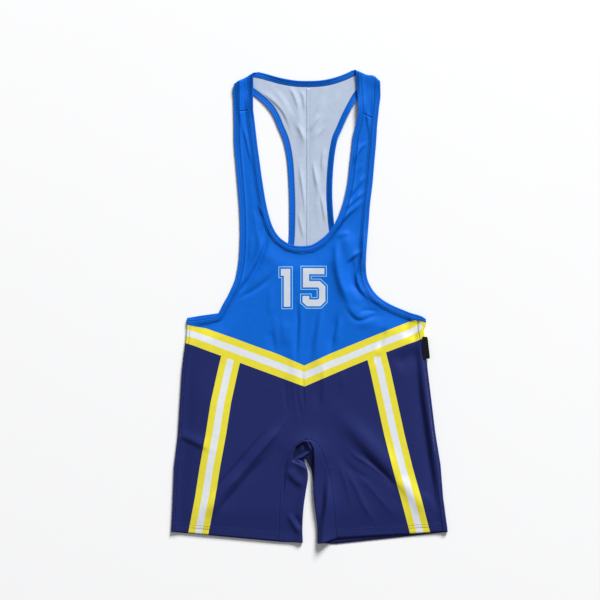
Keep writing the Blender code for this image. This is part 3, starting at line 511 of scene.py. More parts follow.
# How the laid outline departs from the cut: whole layers shift a little in the plane
# x, y, move_x, move_y, reach
SHIFTS = (
    (-113, 402.5, 0, -1.8, 9),
    (-135.5, 399.5, 1.6, -1, 8),
    (116, 411.5, 0.8, 4.2, 9),
    (127.5, 405, -1, 0, 5),
    (128, 378, 1.4, 0, 14),
    (211, -17, -1, -5, 8.5),
    (205, -42, -1.6, 1, 5),
    (-219.5, -20.5, 1.6, 0.6, 5),
)
# The same for the front's layer alone
FRONT_SHIFTS = (
    (-166, -12, 4.5, -4.5, 17),
)

# Ridges in the hollow of the crotch
HOLLOW_RIDGES = (
    (4, 4, 6, (-6.5, -231), (-3.6, -238), (-0.9, -245), (3.6, -254), (6, -262)),
    (1.8, 3, 3.4, (8, -255), (-3.6, -262), (-12.5, -268), (-27, -274)),
    (2.2, 1.6, 2.8, (-27, -272), (-16, -277.5), (-5, -286)),
    (2, 2, 1.6, (-14, -244), (-12, -252), (-13, -260)),
)
HOLLOW_SHADE = 0.6      # painted shade: how much darker the cloth is coloured deep in the hollow, where less light reaches
HOLLOW_LIT = 0.8        # a ridge this high in the hollow gets no painted shade
HOLLOW_TURN = 1.3       # and neither does the cloth past this place round the fold

# Heights of the chevron's edges: blue to yellow, yellow to white, white to yellow, yellow to navy
# x, blue_foot, white_top, white_foot, navy_top
CHEVRON = (
    (-250, -24, -29, -43, -55),
    (-238, -27, -33, -46.5, -59),
    (-218.5, -32, -39.5, -52, -65),
    (-206, -34.5, -43.5, -55.5, -69),
    (-184.5, -38, -51, -63, -77),
    (-134, -55.5, -69, -82, -95.5),
    (-95, -70, -83.5, -96.5, -110),
    (-55.5, -84, -98, -111, -124.5),
    (-8.3, -104.5, -116, -129, -142),
    (36, -84, -97, -110, -123),
    (70, -70, -83.5, -96, -108.5),
    (105.5, -55.5, -68.5, -81, -94),
    (141.5, -41, -54, -66.5, -79.5),
    (177, -27, -41, -53, -66),
    (191.5, -23, -34.5, -47, -61.5),
    (198.5, -21, -29, -42, -58),
    (202, -22.5, -27.5, -41, -56.5),
    (202.6, -23, -37, -37, -56),
    (216.5, -25, -37, -37, -55.5),
    (235, -25, -37, -37, -52),
)
# The leg stripes: the edge away from the middle, at each height
# y, right_x, left_x
LEG_STRIPE = (
    (-40, -145.5, 127),
    (-113, -163, 145.5),
    (-170, -175.5, 158),
    (-227.5, -184.5, 170.5),
    (-284.5, -195, 184.5),
    (-342, -204, 200.5),
    (-399, -215, 215.5),
    (-426, -220, 222),
)
STRIPE_YELLOW, STRIPE_WHITE = 12.0, 12.5
WHITE_TOP = {RIGHT: -92.0, LEFT: -88.5}

# The number on the chest, as plain block figures: corners in turn
DIGITS = {
    "one": ((-50.3, 68.2), (-50.3, 55.8), (-45.0, 55.8), (-45.0, 0.4), (-33.4, 0.4), (-33.4, 68.2)),
    "five": (
        (-10.9, 69.4), (-10.9, 35), (15.9, 35), (18.1, 32.8), (18.1, 15.6), (15.9, 13.4),
        (0.4, 13.4), (0.4, 19.8), (-11.6, 19.8), (-11.6, 8.6), (-3.6, 1.4), (20.4, 1.4),
        (29.2, 10.2), (29.2, 36.8), (19.2, 46.4), (0.2, 46.4), (0.2, 58.6), (27.4, 58.6), (27.4, 69.4),
    ),
}
OUTLINE_NEAR, OUTLINE_FAR = 2.9, 4.2     # from a figure's edge
FILM = 0.12                              # the print's height above the cloth
FILM_CELL = 2.5
FILM_WELD = 0.01                         # corners closer than this are one

# Turned hems
HEM_DEPTH = 16.6
HEM_STEP = 0.45          # rise of the doubled cloth
HEM_EDGE = 1.2           # over which it rises
HEM_ROWS = (15.2, 9.8)   # of stitches, from the hem's edge

# Stitches
STITCH_LENGTH = 2.6
STITCH_PITCH = 3.3
STITCH_WIDTH = 0.7
STITCH_HEIGHT = 0.22
SUNK_THREAD = 0.1        # how far a thread lies in plain cloth
BEAD_RINGS = (0.2, 0.8)  # of a stitch, as shares of its length
BEAD_SECTION = ((0.5, 0.0), (0.0, 1.0), (-0.5, 0.0), (0.0, -0.4))   # in its widths and heights
LIP_REACH = 0.05         # share of a binding's width that goes on behind the panel's edge
LIP_HEIGHTS = (0.72, 0.93)   # of that lip, in half thicknesses towards the garment's inside
BINDING_ROWS = (0.2, 0.56)   # rows of stitches, as shares of the binding's width
BINDING_MARKS = (0.0, 0.015, 0.05, 0.1, 0.15, 0.2, 0.25, 0.31, 0.41, 0.51, 0.56, 0.61, 0.7, 0.82, 0.9,
                 0.95, 0.985, 1.0)   # places across a binding, as shares of its width
PUCKER_REACH = 1.6       # of the small puckers beside such a row
GROOVE = 0.45            # depth of the cloth under a row of stitches
GROOVE_WIDTH = 0.9
HEM_LIFT = SHELL + HEM_STEP - GROOVE / 3   # of the hem's thread above the middle of the cloth
HEM_PLACES = 90
HEM_SPAN = (0.005, 0.995)   # first and last place of its stitches, as shares of its width
HEM_LOOK = 0.3           # rows above the hem, where the way up the leg is read
GUSSET_SPAN = (0.02, 1.2)   # the same on the gusset, from its front seam (0) to past its fold (1)
GUSSET_HEM_PLACES = 24
CROTCH_ROW = -1.6        # of stitches, from the crotch seam into the front
ROUND_EDGE = 0.8         # of a folded binding
SEAM_ALLOWANCE = (-3.2, 3.6)   # overlocked edges of the centre-back seam, either side of it
ALLOWANCE_THICKNESS = 0.3
ALLOWANCE_ENDS = (391.0, 106.0)
ALLOWANCE_PLACES, ALLOWANCE_COLUMNS = 140, 11
ALLOWANCE_GAP = 0.02     # between it and the cloth
ALLOWANCE_WAVES = ((0.25, 0.37, 0.0), (0.2, 0.113, 1.0))   # of its edges: height, turn per millimetre, start
OVERLOCK = 0.5           # from its edge to the thread
LABEL_ROWS, LABEL_COLUMNS = 25, 15
LABEL_NEAR = 0.01        # from a row at its ends to an added one, as a share of its length
# Edges of the flat strips: share of the thickness that is left, and its gain for one width
ALLOWANCE_EDGE, LABEL_EDGE = (0.1, 2.5), (0.7, 12.0)


# ---------------------------------------------------------------- curves and small maths

def column(table, index):
    return np.array([row[index] for row in table], float)


def lookup(table, y, index):
    """Column `index` of a table that runs down the garment, at height y."""
    ys = column(table, 0)
    return np.interp(-np.asarray(y, float), -ys, column(table, index))


def spline(points, u, corners=()):
    """Smooth curve through the rows of `points`; it may turn sharply at the rows in `corners`."""
    points = np.asarray(points, float)
    last = len(points) - 1
    u = np.clip(np.asarray(u, float), 0.0, last)
    start = np.minimum(u.astype(int), last - 1)
    t = (u - start)[:, None]
    p1, p2 = points[start], points[start + 1]
    before, after = points[np.maximum(start - 1, 0)], points[np.minimum(start + 2, last)]
    bend_in = np.array([i == 0 or i in corners for i in start])[:, None]
    bend_out = np.array([i + 1 == last or i + 1 in corners for i in start])[:, None]
    p0 = np.where(bend_in, 2 * p1 - p2, before)
    p3 = np.where(bend_out, 2 * p2 - p1, after)
    return 0.5 * (2 * p1 + (p2 - p0) * t + (2 * p0 - 5 * p1 + 4 * p2 - p3) * t ** 2
                  + (3 * p1 - p0 - 3 * p2 + p3) * t ** 3)


def smooth_step(t):
    t = np.clip(t, 0.0, 1.0)
    return t * t * (3.0 - 2.0 * t)


def unit(vectors):
    return vectors / np.maximum(np.linalg.norm(vectors, axis=-1, keepdims=True), SMALLEST)


def signed_distance(points, line):
    """Distance to an open line, positive on the left of its way."""
    start, step = line[:-1], np.diff(line, axis=0)
    rel = points[:, None, :] - start[None]
    along = np.clip((rel * step).sum(-1) / (step ** 2).sum(-1), 0.0, 1.0)
    away = rel - along[..., None] * step
    distance = np.linalg.norm(away, axis=-1)
    nearest = distance.argmin(axis=1)
    rows = np.arange(len(points))
    side = np.cross(step[nearest], rel[rows, nearest])
    return np.where(side >= 0, 1.0, -1.0) * distance[rows, nearest]


def end_fade(share, reach, least):
    """1 along the middle of a line, down to its least value at both ends."""
    return smooth_step(np.minimum(share, 1.0 - share) / reach) * (1.0 - least) + least


def ridges(points, table):
    """Summed height of soft ridges: round across, fading out at both ends."""
    height = np.zeros(len(points))
    for x0, y0, x1, y1, bow, half_width, top in table:
        start, way = np.array((x0, y0)), np.array((x1 - x0, y1 - y0))
        length = math.hypot(*way)
        along = (points - start) @ way / length ** 2
        across = (points - start) @ np.array((-way[1], way[0])) / length
        inside = np.clip(along, 0.0, 1.0)
        across = across - bow * 4.0 * inside * (1.0 - inside)
        past = (along - inside) * length / half_width
        fade = end_fade(inside, RIDGE_FADE, RIDGE_END)
        height += top * fade * np.exp(-(across / half_width) ** 2 - past ** 2)
    return height


def creases(points, table):
    """Summed height of creases that follow smooth lines and fade out at both ends."""
    height = np.zeros(len(points))
    for left, right, top, *line in table:
        line = spline(line, np.linspace(0.0, len(line) - 1.0, CREASE_STEPS))
        reach = CREASE_REACH * max(left, right)
        near = ((points > line.min(axis=0) - reach) & (points < line.max(axis=0) + reach)).all(axis=1)
        if near.any():
            height[near] += top * crease_share(points[near], line, left, right)
    return height


def crease_share(points, line, left, right):
    start, step = line[:-1], np.diff(line, axis=0)
    length = np.linalg.norm(step, axis=1)
    rel = points[:, None] - start
    along = np.clip((rel * step).sum(-1) / length ** 2, 0.0, 1.0)
    away = np.linalg.norm(rel - along[..., None] * step, axis=-1)
    nearest = away.argmin(axis=1)
    rows = np.arange(len(points))
    before = np.concatenate(((0.0,), np.cumsum(length)))[nearest]
    share = (before + along[rows, nearest] * length[nearest]) / length.sum()
    width = np.where(np.cross(step[nearest], rel[rows, nearest]) > 0.0, left, right)
    fade = end_fade(share, CREASE_FADE, CREASE_END)
    return fade * np.exp(-(away[rows, nearest] / width) ** 2)


def shifted(points, table):
    """Points moved a little in the plane, most at each place of the table."""
    moved = points.copy()
    for x, y, move_x, move_y, reach in table:
        near = np.exp(-((points[:, 0] - x) ** 2 + (points[:, 1] - y) ** 2) / reach ** 2)
        moved[:, 0] += near * move_x
        moved[:, 1] += near * move_y
    return moved


# ---------------------------------------------------------------- how the layers lie

def shoulder_frame(side):
    """A point on the shoulder's edge, the way along the edge, and the way out past it."""
    outer, inner = (np.array(p) for p in SHOULDER[side])
    along = unit(inner - outer)
    out = np.array((-along[1], along[0]))
    return outer, along, out if out[1] > 0 else -out


def side_tangent(side, y):
    """Where the back leaves the floor to roll over at the side, as a distance from X = 0."""
    return side * lookup(SIDE[side], y, 1) - FOLD_RADIUS - CLOTH / 2


def edge_outward(curve, sign):
    """Unit ways out of a panel's edge, across the edge."""
    way = unit(np.gradient(curve, axis=0))
    return sign * np.stack((-way[:, 1], way[:, 0]), axis=1)


def back_edge_line(side, which, last):
    """Outer edge of the back's neck binding (0) or armhole binding (1), in the unfolded plane."""
    edge = back_edges(side, np.linspace(BACK_LINE_START, last, 4 * last))[which]
    return edge + edge_outward(edge, side * (2 * which - 1)) * (BINDING_WIDTH + SEAM_GAP)


def over_back(points):
    """Underside of the upper layer where it lies on the back or sinks to the floor beside it."""
    return LAYER * np.minimum(*(
        smooth_step(1.0 + (LEDGE - side * signed_distance(points, ARMHOLE_LINE[side])) / RAMP)
        for side in SIDES))


def fold_parting(points):
    """Extra height next to the side folds and the shoulder folds."""
    height = np.zeros(len(points))
    for side in SIDES:
        inside = np.maximum(side_tangent(side, points[:, 1]) - side * points[:, 0], 0.0)
        height += FOLD_RISE * np.exp(-(inside / SIDE_FADE) ** 2)
        start, along, out = shoulder_frame(side)
        below = np.maximum(-(points - start) @ out - FOLD_RADIUS - CLOTH / 2, 0.0)
        beside = np.abs((points - start) @ along - SHOULDER_MIDDLE) / SHOULDER_REACH
        height += FOLD_RISE * np.exp(-(below / SHOULDER_FADE) ** 2) * (1.0 - smooth_step(beside - 1.0))
    return height


def crotch_lift(points):
    away = np.linalg.norm(points - np.array(CROTCH_AT), axis=1)
    return CROTCH_RISE * np.exp(-(away / CROTCH_SPREAD) ** 2)


def underside(points):
    """Underside of the upper layer."""
    lie = over_back(points)
    height = (lie + fold_parting(points) + crotch_lift(points) + billow(points)
              + ridges(points, BACK_FOLDS) + ridges(points, FRONT_FOLDS) * edge_calm(points, FOLD_CALM)
              + creases(points, FRONT_CREASES) * edge_calm(points, CREASE_CALM))
    return soft_floor(height, lie - CLOTH * lie / LAYER + FLOOR_GAP)


def soft_floor(height, least):
    """The height, bent over smoothly so that it stays above its least value."""
    above = height - least
    return least + (above + np.sqrt(above ** 2 + FLOOR_BEND)) / 2.0


def edge_depth(points):
    """How far inside the front's bound edges the places lie, negative on the bindings."""
    depth = np.empty(len(points))
    for side in SIDES:
        mine = side * (points[:, 0] - FRONT_MIDDLE) >= 0.0
        depth[mine] = np.minimum(*(sign * signed_distance(points[mine], line)
                                   for line, sign in FRONT_LINES[side]))
    return depth


def billow(points):
    """Extra height of the front well inside its edges and folds."""
    depth = edge_depth(points)
    share = smooth_step((depth - BILLOW_FOOT) / BILLOW_REACH)
    for side in SIDES:
        share *= smooth_step((side_tangent(side, points[:, 1]) - side * points[:, 0]) / BILLOW_REACH)
    share *= smooth_step((points[:, 1] - HEM_Y) / HEM_REACH)
    bound = (1.0 - smooth_step(depth / BOUND_FLANK)) * smooth_step((BOUND_TOP - points[:, 1]) / BOUND_FADE)
    return BILLOW * share + BOUND_RISE * bound * edge_calm(points, BOUND_CALM)


def front_lines(side):
    """Neck and armhole edges of one half of the front, and on which side of them the cloth lies."""
    over, upper = np.array(BACK_OVER[side])[::-1], np.array(FRONT_UPPER[side])
    neck = np.concatenate((over[:-1, 0:2], upper[:NECK_ROW + 1, 0:2]))
    armhole = np.concatenate((over[:-1, 2:4], upper[:, 2:4]))
    return (neck, side), (armhole, -side)


def edge_calm(points, reach):
    """0 at the side folds, 1 well inside them: the folds of the front die out there."""
    calm = np.ones(len(points))
    for side in SIDES:
        inside = side_tangent(side, points[:, 1]) - side * points[:, 0]
        calm *= smooth_step(inside / reach)
    return calm


def back_form(points):
    """Height of the racerback's folds: the fine ones lie on the floor between the larger ones."""
    return ridges(points, BACK_FOLDS) + np.maximum(creases(points, BACK_CREASES), 0.0)


def curl(side, points):
    """Rise of the racerback's bindings towards their outer edges."""
    x, y = points[:, 0], points[:, 1]
    width = BINDING_WIDTH + SEAM_GAP
    arm = smooth_step(CURL_TURN * (1.0 + side * signed_distance(points, ARMHOLE_LINE[side]) / width))
    arm *= smooth_step((y - CURL_FOOT) / CURL_FADE) * smooth_step((CURL_TOP - y) / CURL_FADE)
    neck = smooth_step(1.0 - side * signed_distance(points, NECK_LINE[side]) / width)
    neck *= smooth_step((NECK_CURL_REACH - np.abs(x - FRONT_MIDDLE)) / CURL_FADE)
    return CURL[side] * arm + NECK_CURL * neck


def front_surface(points, half):
    return np.column_stack((shifted(points, FRONT_SHIFTS), half + underside(points)))


def back_surface(side):
    """Surface of one half of the back, from its unfolded plane."""
    def roll(points, half):
        place, height = points.copy(), half + back_form(points) + curl(side, points)
        start, _, out = shoulder_frame(side)
        tangent = -FOLD_RADIUS - CLOTH / 2
        past = (points - start) @ out - tangent
        at_shoulder = points[:, 1] > SHOULDER_FOOT
        place, height = roll_over(place, height, half, past, at_shoulder, out[None])
        past = side * points[:, 0] - side_tangent(side, points[:, 1])
        return np.column_stack(roll_over(place, height, half, past, points[:, 1] < UNDERARM_Y,
                                         np.array(((side, 0.0),))))
    return roll


def roll_over(place, height, half, past, applies, out):
    """Rolls what lies `past` a tangent line up and back over the layer below."""
    turn = math.pi * FOLD_RADIUS
    angle = np.clip(past / FOLD_RADIUS, 0.0, math.pi)
    rolled = np.where(past <= turn, FOLD_RADIUS * np.sin(angle), turn - past)
    shift = np.where(applies & (past > 0.0), rolled - past, 0.0)
    moved = place + shift[:, None] * out
    at_top = place + np.where(past > 0.0, -past, 0.0)[:, None] * out
    top = half + underside(np.where((past > turn)[:, None], moved, at_top))
    risen = height + (top - height) * (1.0 - np.cos(angle)) / 2.0
    return moved, np.where(applies & (past > 0.0), risen, height)


def unfold_side(side, x, y):
    """Unfolded X of a place on the front that belongs to the back's cloth, at a side fold."""
    tangent = side_tangent(side, y)
    return side * (tangent + math.pi * FOLD_RADIUS + tangent - side * np.asarray(x, float))


def unfold_shoulder(side, points):
    """Unfolded place of points on the front that belong to the back's strap."""
    start, _, out = shoulder_frame(side)
    tangent = -FOLD_RADIUS - CLOTH / 2
    below = tangent - (points - start) @ out
    past = math.pi * FOLD_RADIUS + below
    return points + (past + below)[:, None] * out


# ---------------------------------------------------------------- edges of the panels

def front_edges(side, u):
    """Neck-and-centre edge and armhole-and-side edge of half the front, at the rows u."""
    upper = np.array(FRONT_UPPER[side])
    waist = np.array(WAIST)
    inner_y = np.concatenate((upper[:, 1], waist[:, 0]))
    inner_x = np.concatenate((upper[:, 0], lookup(FRONT_CENTRE, waist[:, 0], 1)))
    inner_x[NECK_ROW:] = lookup(FRONT_CENTRE, inner_y[NECK_ROW:], 1)
    inner = spline(np.column_stack((inner_x, inner_y)), u, corners=(NECK_ROW,))
    on_centre = (u > NECK_ROW) & (u <= LEG_TOP)
    inner[on_centre, 0] = lookup(FRONT_CENTRE, inner[on_centre, 1], 1)
    in_leg = u > LEG_TOP
    inner[in_leg] = spline(np.array(GUSSET)[:, 0:2], APEX + side * (u[in_leg] - LEG_TOP))
    outer_y = np.concatenate((upper[:, 3], waist[:, 2], LEG_SIDE_Y))
    outer_x = np.concatenate((upper[:, 2], lookup(SIDE[side], outer_y[len(upper):], 2)))
    outer = spline(np.column_stack((outer_x, outer_y)), u, corners=(ARMHOLE_ROW,))
    on_seam = u >= ARMHOLE_ROW
    outer[on_seam, 0] = lookup(SIDE[side], outer[on_seam, 1], 2)
    return inner, outer


def back_edges(side, u):
    """The same two edges of half the back, in its unfolded plane."""
    over, upper = np.array(BACK_OVER[side]), np.array(BACK_UPPER[side])
    waist = np.array(WAIST)
    inner = np.concatenate((unfold_shoulder(side, over[:, 0:2]), upper[:, 0:2],
                            ((0.0, BACK_FOOT_Y),), np.column_stack((waist[:, 1] * 0, waist[:, 1]))))
    foot_y = FRONT_UPPER[side][ARMHOLE_ROW][3]
    outer_y = np.concatenate(((foot_y,), waist[:, 2], LEG_SIDE_Y))
    outer_x = unfold_side(side, lookup(SIDE[side], outer_y, 2), outer_y)
    outer = np.concatenate((unfold_shoulder(side, over[:, 2:4]), upper[:, 2:4],
                            np.column_stack((outer_x, outer_y))))
    on_centre = u > BACK_NECK_ROW
    inner_points = spline(inner, u, corners=(BACK_NECK_ROW,))
    inner_points[on_centre, 0] = lookup(BACK_CENTRE, inner_points[on_centre, 1], 1)
    in_leg = u > BACK_LEG_TOP
    inner_points[in_leg] = spline(np.array(GUSSET)[:, 4:6], APEX + side * (u[in_leg] - BACK_LEG_TOP))
    outer_points = spline(outer, u, corners=(BACK_ARMHOLE_ROW,))
    on_seam = u >= BACK_ARMHOLE_ROW
    seam_y = outer_points[on_seam, 1]
    outer_points[on_seam, 0] = unfold_side(side, lookup(SIDE[side], seam_y, 2), seam_y)
    return inner_points, outer_points


def front_rows():
    return np.arange(0.0, LEG_TOP + LEG_ROWS + ROW_STEP / 2, ROW_STEP)


def back_rows(side):
    """Row numbers of the back, closer together where it rolls over a fold."""
    rows = np.arange(0.0, BACK_LEG_TOP + LEG_ROWS + BACK_STEP / 2, BACK_STEP)
    marks = np.concatenate(((-ROLL_TAIL,), ROLL_MARKS, (ROLL_MARKS[-1] + ROLL_TAIL,)))
    start, _, out = shoulder_frame(side)
    fine = np.linspace(*SHOULDER_ROWS, FINE_ROWS)
    inner, outer = back_edges(side, fine)
    past = ((inner + outer) / 2 - start) @ out + FOLD_RADIUS + CLOTH / 2
    rows = with_marks(rows, np.interp(marks, past[::-1], fine[::-1]))
    fine = np.linspace(BACK_ARMHOLE_ROW - 2.0, BACK_ARMHOLE_ROW, FINE_ROWS)
    outer = back_edges(side, fine)[1]
    past = side * outer[:, 0] - side_tangent(side, outer[:, 1])
    return with_marks(rows, np.interp(marks, past, fine))


def with_marks(rows, marks):
    """Adds the marks to the rows and drops the rows that they surround."""
    crowd = 0.03
    kept = rows[(rows < marks.min() - crowd) | (rows > marks.max() + crowd)
                | (rows == BACK_ARMHOLE_ROW)]
    return np.unique(np.concatenate((kept, np.setdiff1d(marks, kept))))


# ---------------------------------------------------------------- grids, walls and strips

def normals(surface, points, half):
    """Unit normals, towards the inside of the garment on the back."""
    step = 0.25
    dx, dy = np.array((step, 0.0)), np.array((0.0, step))
    across = surface(points + dx, half) - surface(points - dx, half)
    along = surface(points + dy, half) - surface(points - dy, half)
    return unit(np.cross(across, along))


def ruled_grid(inner, outer, shares):
    """Places between two edges; shares holds one row of fractions for each rule."""
    return inner[:, None] + (outer - inner)[:, None] * shares[..., None]


def lay(surface, grid, half):
    """Mid-surface places and normals of a flat grid of places."""
    flat = grid.reshape(-1, 2)
    shape = grid.shape[:2] + (3,)
    return surface(flat, half).reshape(shape), normals(surface, flat, half).reshape(shape)


def quads(ids):
    return np.stack((ids[:-1, :-1], ids[1:, :-1], ids[1:, 1:], ids[:-1, 1:]), axis=-1).reshape(-1, 4)


def gusset_place(s, t):
    """Mid-surface of the gusset: s runs along its rows, t from the front seam (0) to the fold
    (1 to 2) and on to the back seam (3)."""
    half = CLOTH / 2
    row = spline(np.array(GUSSET), s)
    seam, fold, back = row[:, 0:2], row[:, 2:4], row[:, 4:6]
    way, way_back = unit(fold - seam), unit(fold - back)
    seam, back = seam + way * SEAM_GAP, back + way_back * SEAM_GAP
    above = gusset_underside(fold - way * (FOLD_RADIUS + half))
    radius = np.minimum(FOLD_RADIUS, above / 2.0)[:, None]
    turn = fold - way * (radius + half)
    angle = np.clip(t - 1.0, 0.0, 1.0) * math.pi
    upper = seam + (turn - seam) * np.clip(t, 0.0, 1.0)[:, None]
    lower = turn + (back - turn) * np.clip(t - 2.0, 0.0, 1.0)[:, None]
    flat = np.where((t <= 1.0)[:, None], upper, np.where((t >= 2.0)[:, None], lower, turn))
    flat = flat + way * radius * np.sin(angle)[:, None]
    top = gusset_underside(np.where((t <= 1.0)[:, None], upper, turn))
    height = half + top * (1.0 + np.cos(angle)) / 2.0
    return np.column_stack((flat, height))


def gusset_underside(points):
    """The gusset's front half: high at its seam and at its legs' folds, sunk in the hollow."""
    row = spline(np.array(GUSSET), np.linspace(0.0, len(GUSSET) - 1.0, GUSSET_PLACES))
    from_fold = np.abs(signed_distance(points, row[:, 2:4]))
    rise = FOLD_RISE * np.exp(-(np.maximum(from_fold - FOLD_RADIUS - CLOTH / 2, 0.0) / SIDE_FADE) ** 2)
    sunk, ridge = hollow(points)
    return HOLLOW_FLOOR + (underside(points) + rise - HOLLOW_FLOOR) * (1.0 - sunk) + sunk * ridge


def hollow(points):
    """How far places lie in the hollow, and the height of its ridges there."""
    depth = np.abs(signed_distance(points, np.array(HOLLOW + HOLLOW[:1])))
    depth[[not within(HOLLOW, x, y) for x, y in points]] *= -1.0
    return smooth_step(0.5 + depth / HOLLOW_EDGE), creases(points, HOLLOW_RIDGES)


def edge_ribs(surface, curve, outward, face, folds):
    """Ribs of a binding along an edge. Near a fold they turn to lie along it, so that the strip
    rolls over it without a twist; `folds` lists (distance of each place, way along the fold)."""
    ways = outward.copy()
    for distance, along in folds:
        near = np.exp(-(distance / RIB_TURN) ** 2)[:, None]
        slant = (outward * along).sum(axis=1)
        slant = np.copysign(np.maximum(np.abs(slant), LEAST_SLANT), slant)
        ways = ways * (1.0 - near) + near * along[None] / slant[:, None]
    starts, ends = curve + ways * SEAM_GAP, curve + ways * (SEAM_GAP + BINDING_WIDTH)
    return [(surface, a, b, face) for a, b in zip(starts, ends)]


def shoulder_fold_of(side, curve):
    start, along, out = shoulder_frame(side)
    return (curve - start) @ out, along


def side_fold_of(side, curve):
    distance = side * curve[:, 0] - side_tangent(side, curve[:, 1]) - ROLL_MARKS[-1] / 2
    away = np.where(curve[:, 1] < UNDERARM_Y, distance, FAR * RIB_TURN)
    return away, np.array((0.0, 1.0))


def sewn_edge(distance):
    """Half thickness of the shell at a distance from a sewn edge."""
    return SEWN_EDGE + (SHELL - SEWN_EDGE) * smooth_step(distance / EDGE_ROLL)


def seam_shade(distance):
    """Painted shade: how much darker the cloth is coloured at a distance from a seam."""
    return SEAM_SHADE * np.exp(-(distance / SEAM_SHADE_WIDTH) ** 2)


def groove(distance):
    """How far the cloth is drawn down at a distance from a row of stitches."""
    return GROOVE * np.exp(-(distance / GROOVE_WIDTH) ** 2)


def line_distance(points, start, end):
    way = unit(np.asarray(end, float) - np.asarray(start, float))
    rel = points - np.asarray(start, float)
    return np.abs(rel[:, 0] * way[1] - rel[:, 1] * way[0])


def hem_form(from_hem):
    """Rise of the turned hem's outside, with its two rows of stitches."""
    rise = HEM_STEP * smooth_step((HEM_DEPTH - from_hem) / HEM_EDGE)
    for row in HEM_ROWS:
        rise = rise - groove(from_hem - row)
    return rise


def chevron_edges(x):
    table = np.array(CHEVRON)
    return [np.interp(x, table[:, 0], table[:, k]) for k in range(1, 5)]


def print_places(points, side):
    """What the print's shader reads: depth below each edge of the chevron, and the place in a leg stripe."""
    x, y = points[:, 0], points[:, 1]
    edges = chevron_edges(x)
    table = np.array(LEG_STRIPE)
    edge_x = np.interp(-y, -table[:, 0], table[:, 1 if side == RIGHT else 2])
    into = side * (edge_x - x)
    chevron = np.column_stack([edges[k] - y for k in range(3)])
    stripe = np.column_stack((edges[3] - y, into, WHITE_TOP[side] - y))
    return {"chevron": chevron, "stripe": stripe}


# ---------------------------------------------------------------- meshes

def add_object(name, data):
    item = bpy.data.objects.new(name, data)
    bpy.context.scene.collection.objects.link(item)
    return item


def grid_ids(places):
    return np.arange(places[..., 0].size).reshape(places.shape[:2])


def cloth_places(flat, depth=0.0):
    """The places that the cloth's pattern reads; each piece has its own depth in the pattern."""
    return {"cloth": np.column_stack((flat, np.full(len(flat), depth)))}


def solid(name, points, faces, slots, materials, fields):
    """Mesh object from points in the tables' places; `fields` are named values of its points."""
    mesh = bpy.data.meshes.new(name)
    points = shifted(points, SHIFTS)
    mesh.from_pydata(((points - MIDDLE) * MM).tolist(), [], faces)
    for field, values in fields.items():
        values = np.asarray(values, np.float32)
        kind, key = ("FLOAT", "value") if values.ndim == 1 else ("FLOAT_VECTOR", "vector")
        mesh.attributes.new(field, kind, "POINT").data.foreach_set(key, values.ravel())
    for material in materials:
        mesh.materials.append(material)
    mesh.polygons.foreach_set("material_index", np.asarray(slots, np.int32))
    shape = bmesh.new()
    shape.from_mesh(mesh)
    bmesh.ops.delete(shape, geom=[v for v in shape.verts if not v.link_faces], context="VERTS")
    bmesh.ops.recalc_face_normals(shape, faces=shape.faces)
    shape.to_mesh(mesh)
    shape.free()
    mesh.shade_smooth()
    return add_object(name, mesh)


def shell(name, places, ways, faces, halves, materials, fields):
    """Closed shell about a mid-surface: its outside first, then its inside and its rim."""
    count = len(places)
    faces = faces.tolist()
    rim = set()
    for face in faces:
        rim.update(zip(face, face[1:] + face[:1]))
    edges = [(a, b) for a, b in rim if (b, a) not in rim]
    upper, lower = halves
    points = np.concatenate((places + ways * upper[:, None], places - ways * lower[:, None]))
    shells = faces + [[i + count for i in f[::-1]] for f in faces]
    shells += [[b, a, a + count, b + count] for a, b in edges]
    slots = [0] * len(faces) + [1] * len(faces) + [0] * len(edges)
    doubled = {k: np.concatenate((v, v)) for k, v in fields.items()}
    return solid(name, points, shells, slots, materials, doubled)


def edge_shares(widths, count):
    """Fractions across each rule, closer together at both sewn edges."""
    near = np.array(EDGE_MARKS)[None] / widths[:, None]
    middle = np.linspace(0.0, 1.0, count + 1)[None, 1:-1]
    first, last = near[:, -1:], 1.0 - near[:, -1:]
    return np.concatenate((near, first + (last - first) * middle, 1.0 - near[:, ::-1]), axis=1)


def make_front():
    rows = front_rows()
    places, ways, ids, tops, fields = [], [], [], [], []
    for side in SIDES:
        inner, outer = front_edges(side, rows)
        widths = np.linalg.norm(outer - inner, axis=1)
        shares = edge_shares(widths, FRONT_COLUMNS)
        grid = ruled_grid(inner, outer, shares)
        spots, out = lay(front_surface, grid, CLOTH / 2)
        ids.append(grid_ids(spots) + sum(map(len, places)))
        places.append(spots.reshape(-1, 3))
        ways.append(out.reshape(-1, 3))
        flat = grid.reshape(-1, 2)
        from_inner = (shares * widths[:, None]) + ((rows > NECK_ROW) & (rows <= LEG_TOP))[:, None] * FAR
        from_outer = (1.0 - shares) * widths[:, None]
        from_top = line_distance(flat, inner[0], outer[0]).reshape(shares.shape) + SHOULDER_SEAM
        half = sewn_edge(np.minimum(np.minimum(from_inner, from_outer), from_top)).ravel()
        from_hem = line_distance(flat, inner[-1], outer[-1])
        tops.append(half + hem_form(from_hem))
        # painted shade along the bound edges: stronger at the neck on the right half and at the armhole on
        # the left half, where the binding shades the cloth from the light
        lit = smooth_step(0.5 + (grid[..., 0] - FRONT_MIDDLE) / LIT_WIDTH)
        bound = np.minimum(from_inner + (rows > NECK_ROW)[:, None] * FAR + lit,
                           from_outer + (rows > ARMHOLE_ROW)[:, None] * SIDE_SEAM_AWAY + (1.0 - lit)).ravel()
        fields.append({**print_places(flat, side), **cloth_places(flat), "painted_shade": seam_shade(bound),
                       "from_hem": from_hem})
    shared = (rows >= NECK_ROW) & (rows <= LEG_TOP)
    ids[1][shared, 0] = ids[0][shared, 0]
    faces = np.concatenate((quads(ids[0]), quads(ids[1])[:, ::-1]))
    tops = np.concatenate(tops)
    fields = {k: np.concatenate([f[k] for f in fields]) for k in fields[0]}
    return shell("front_cloth", np.concatenate(places), np.concatenate(ways), faces,
                 (tops, np.minimum(tops, SHELL)), (PRINTED, INSIDE), fields)


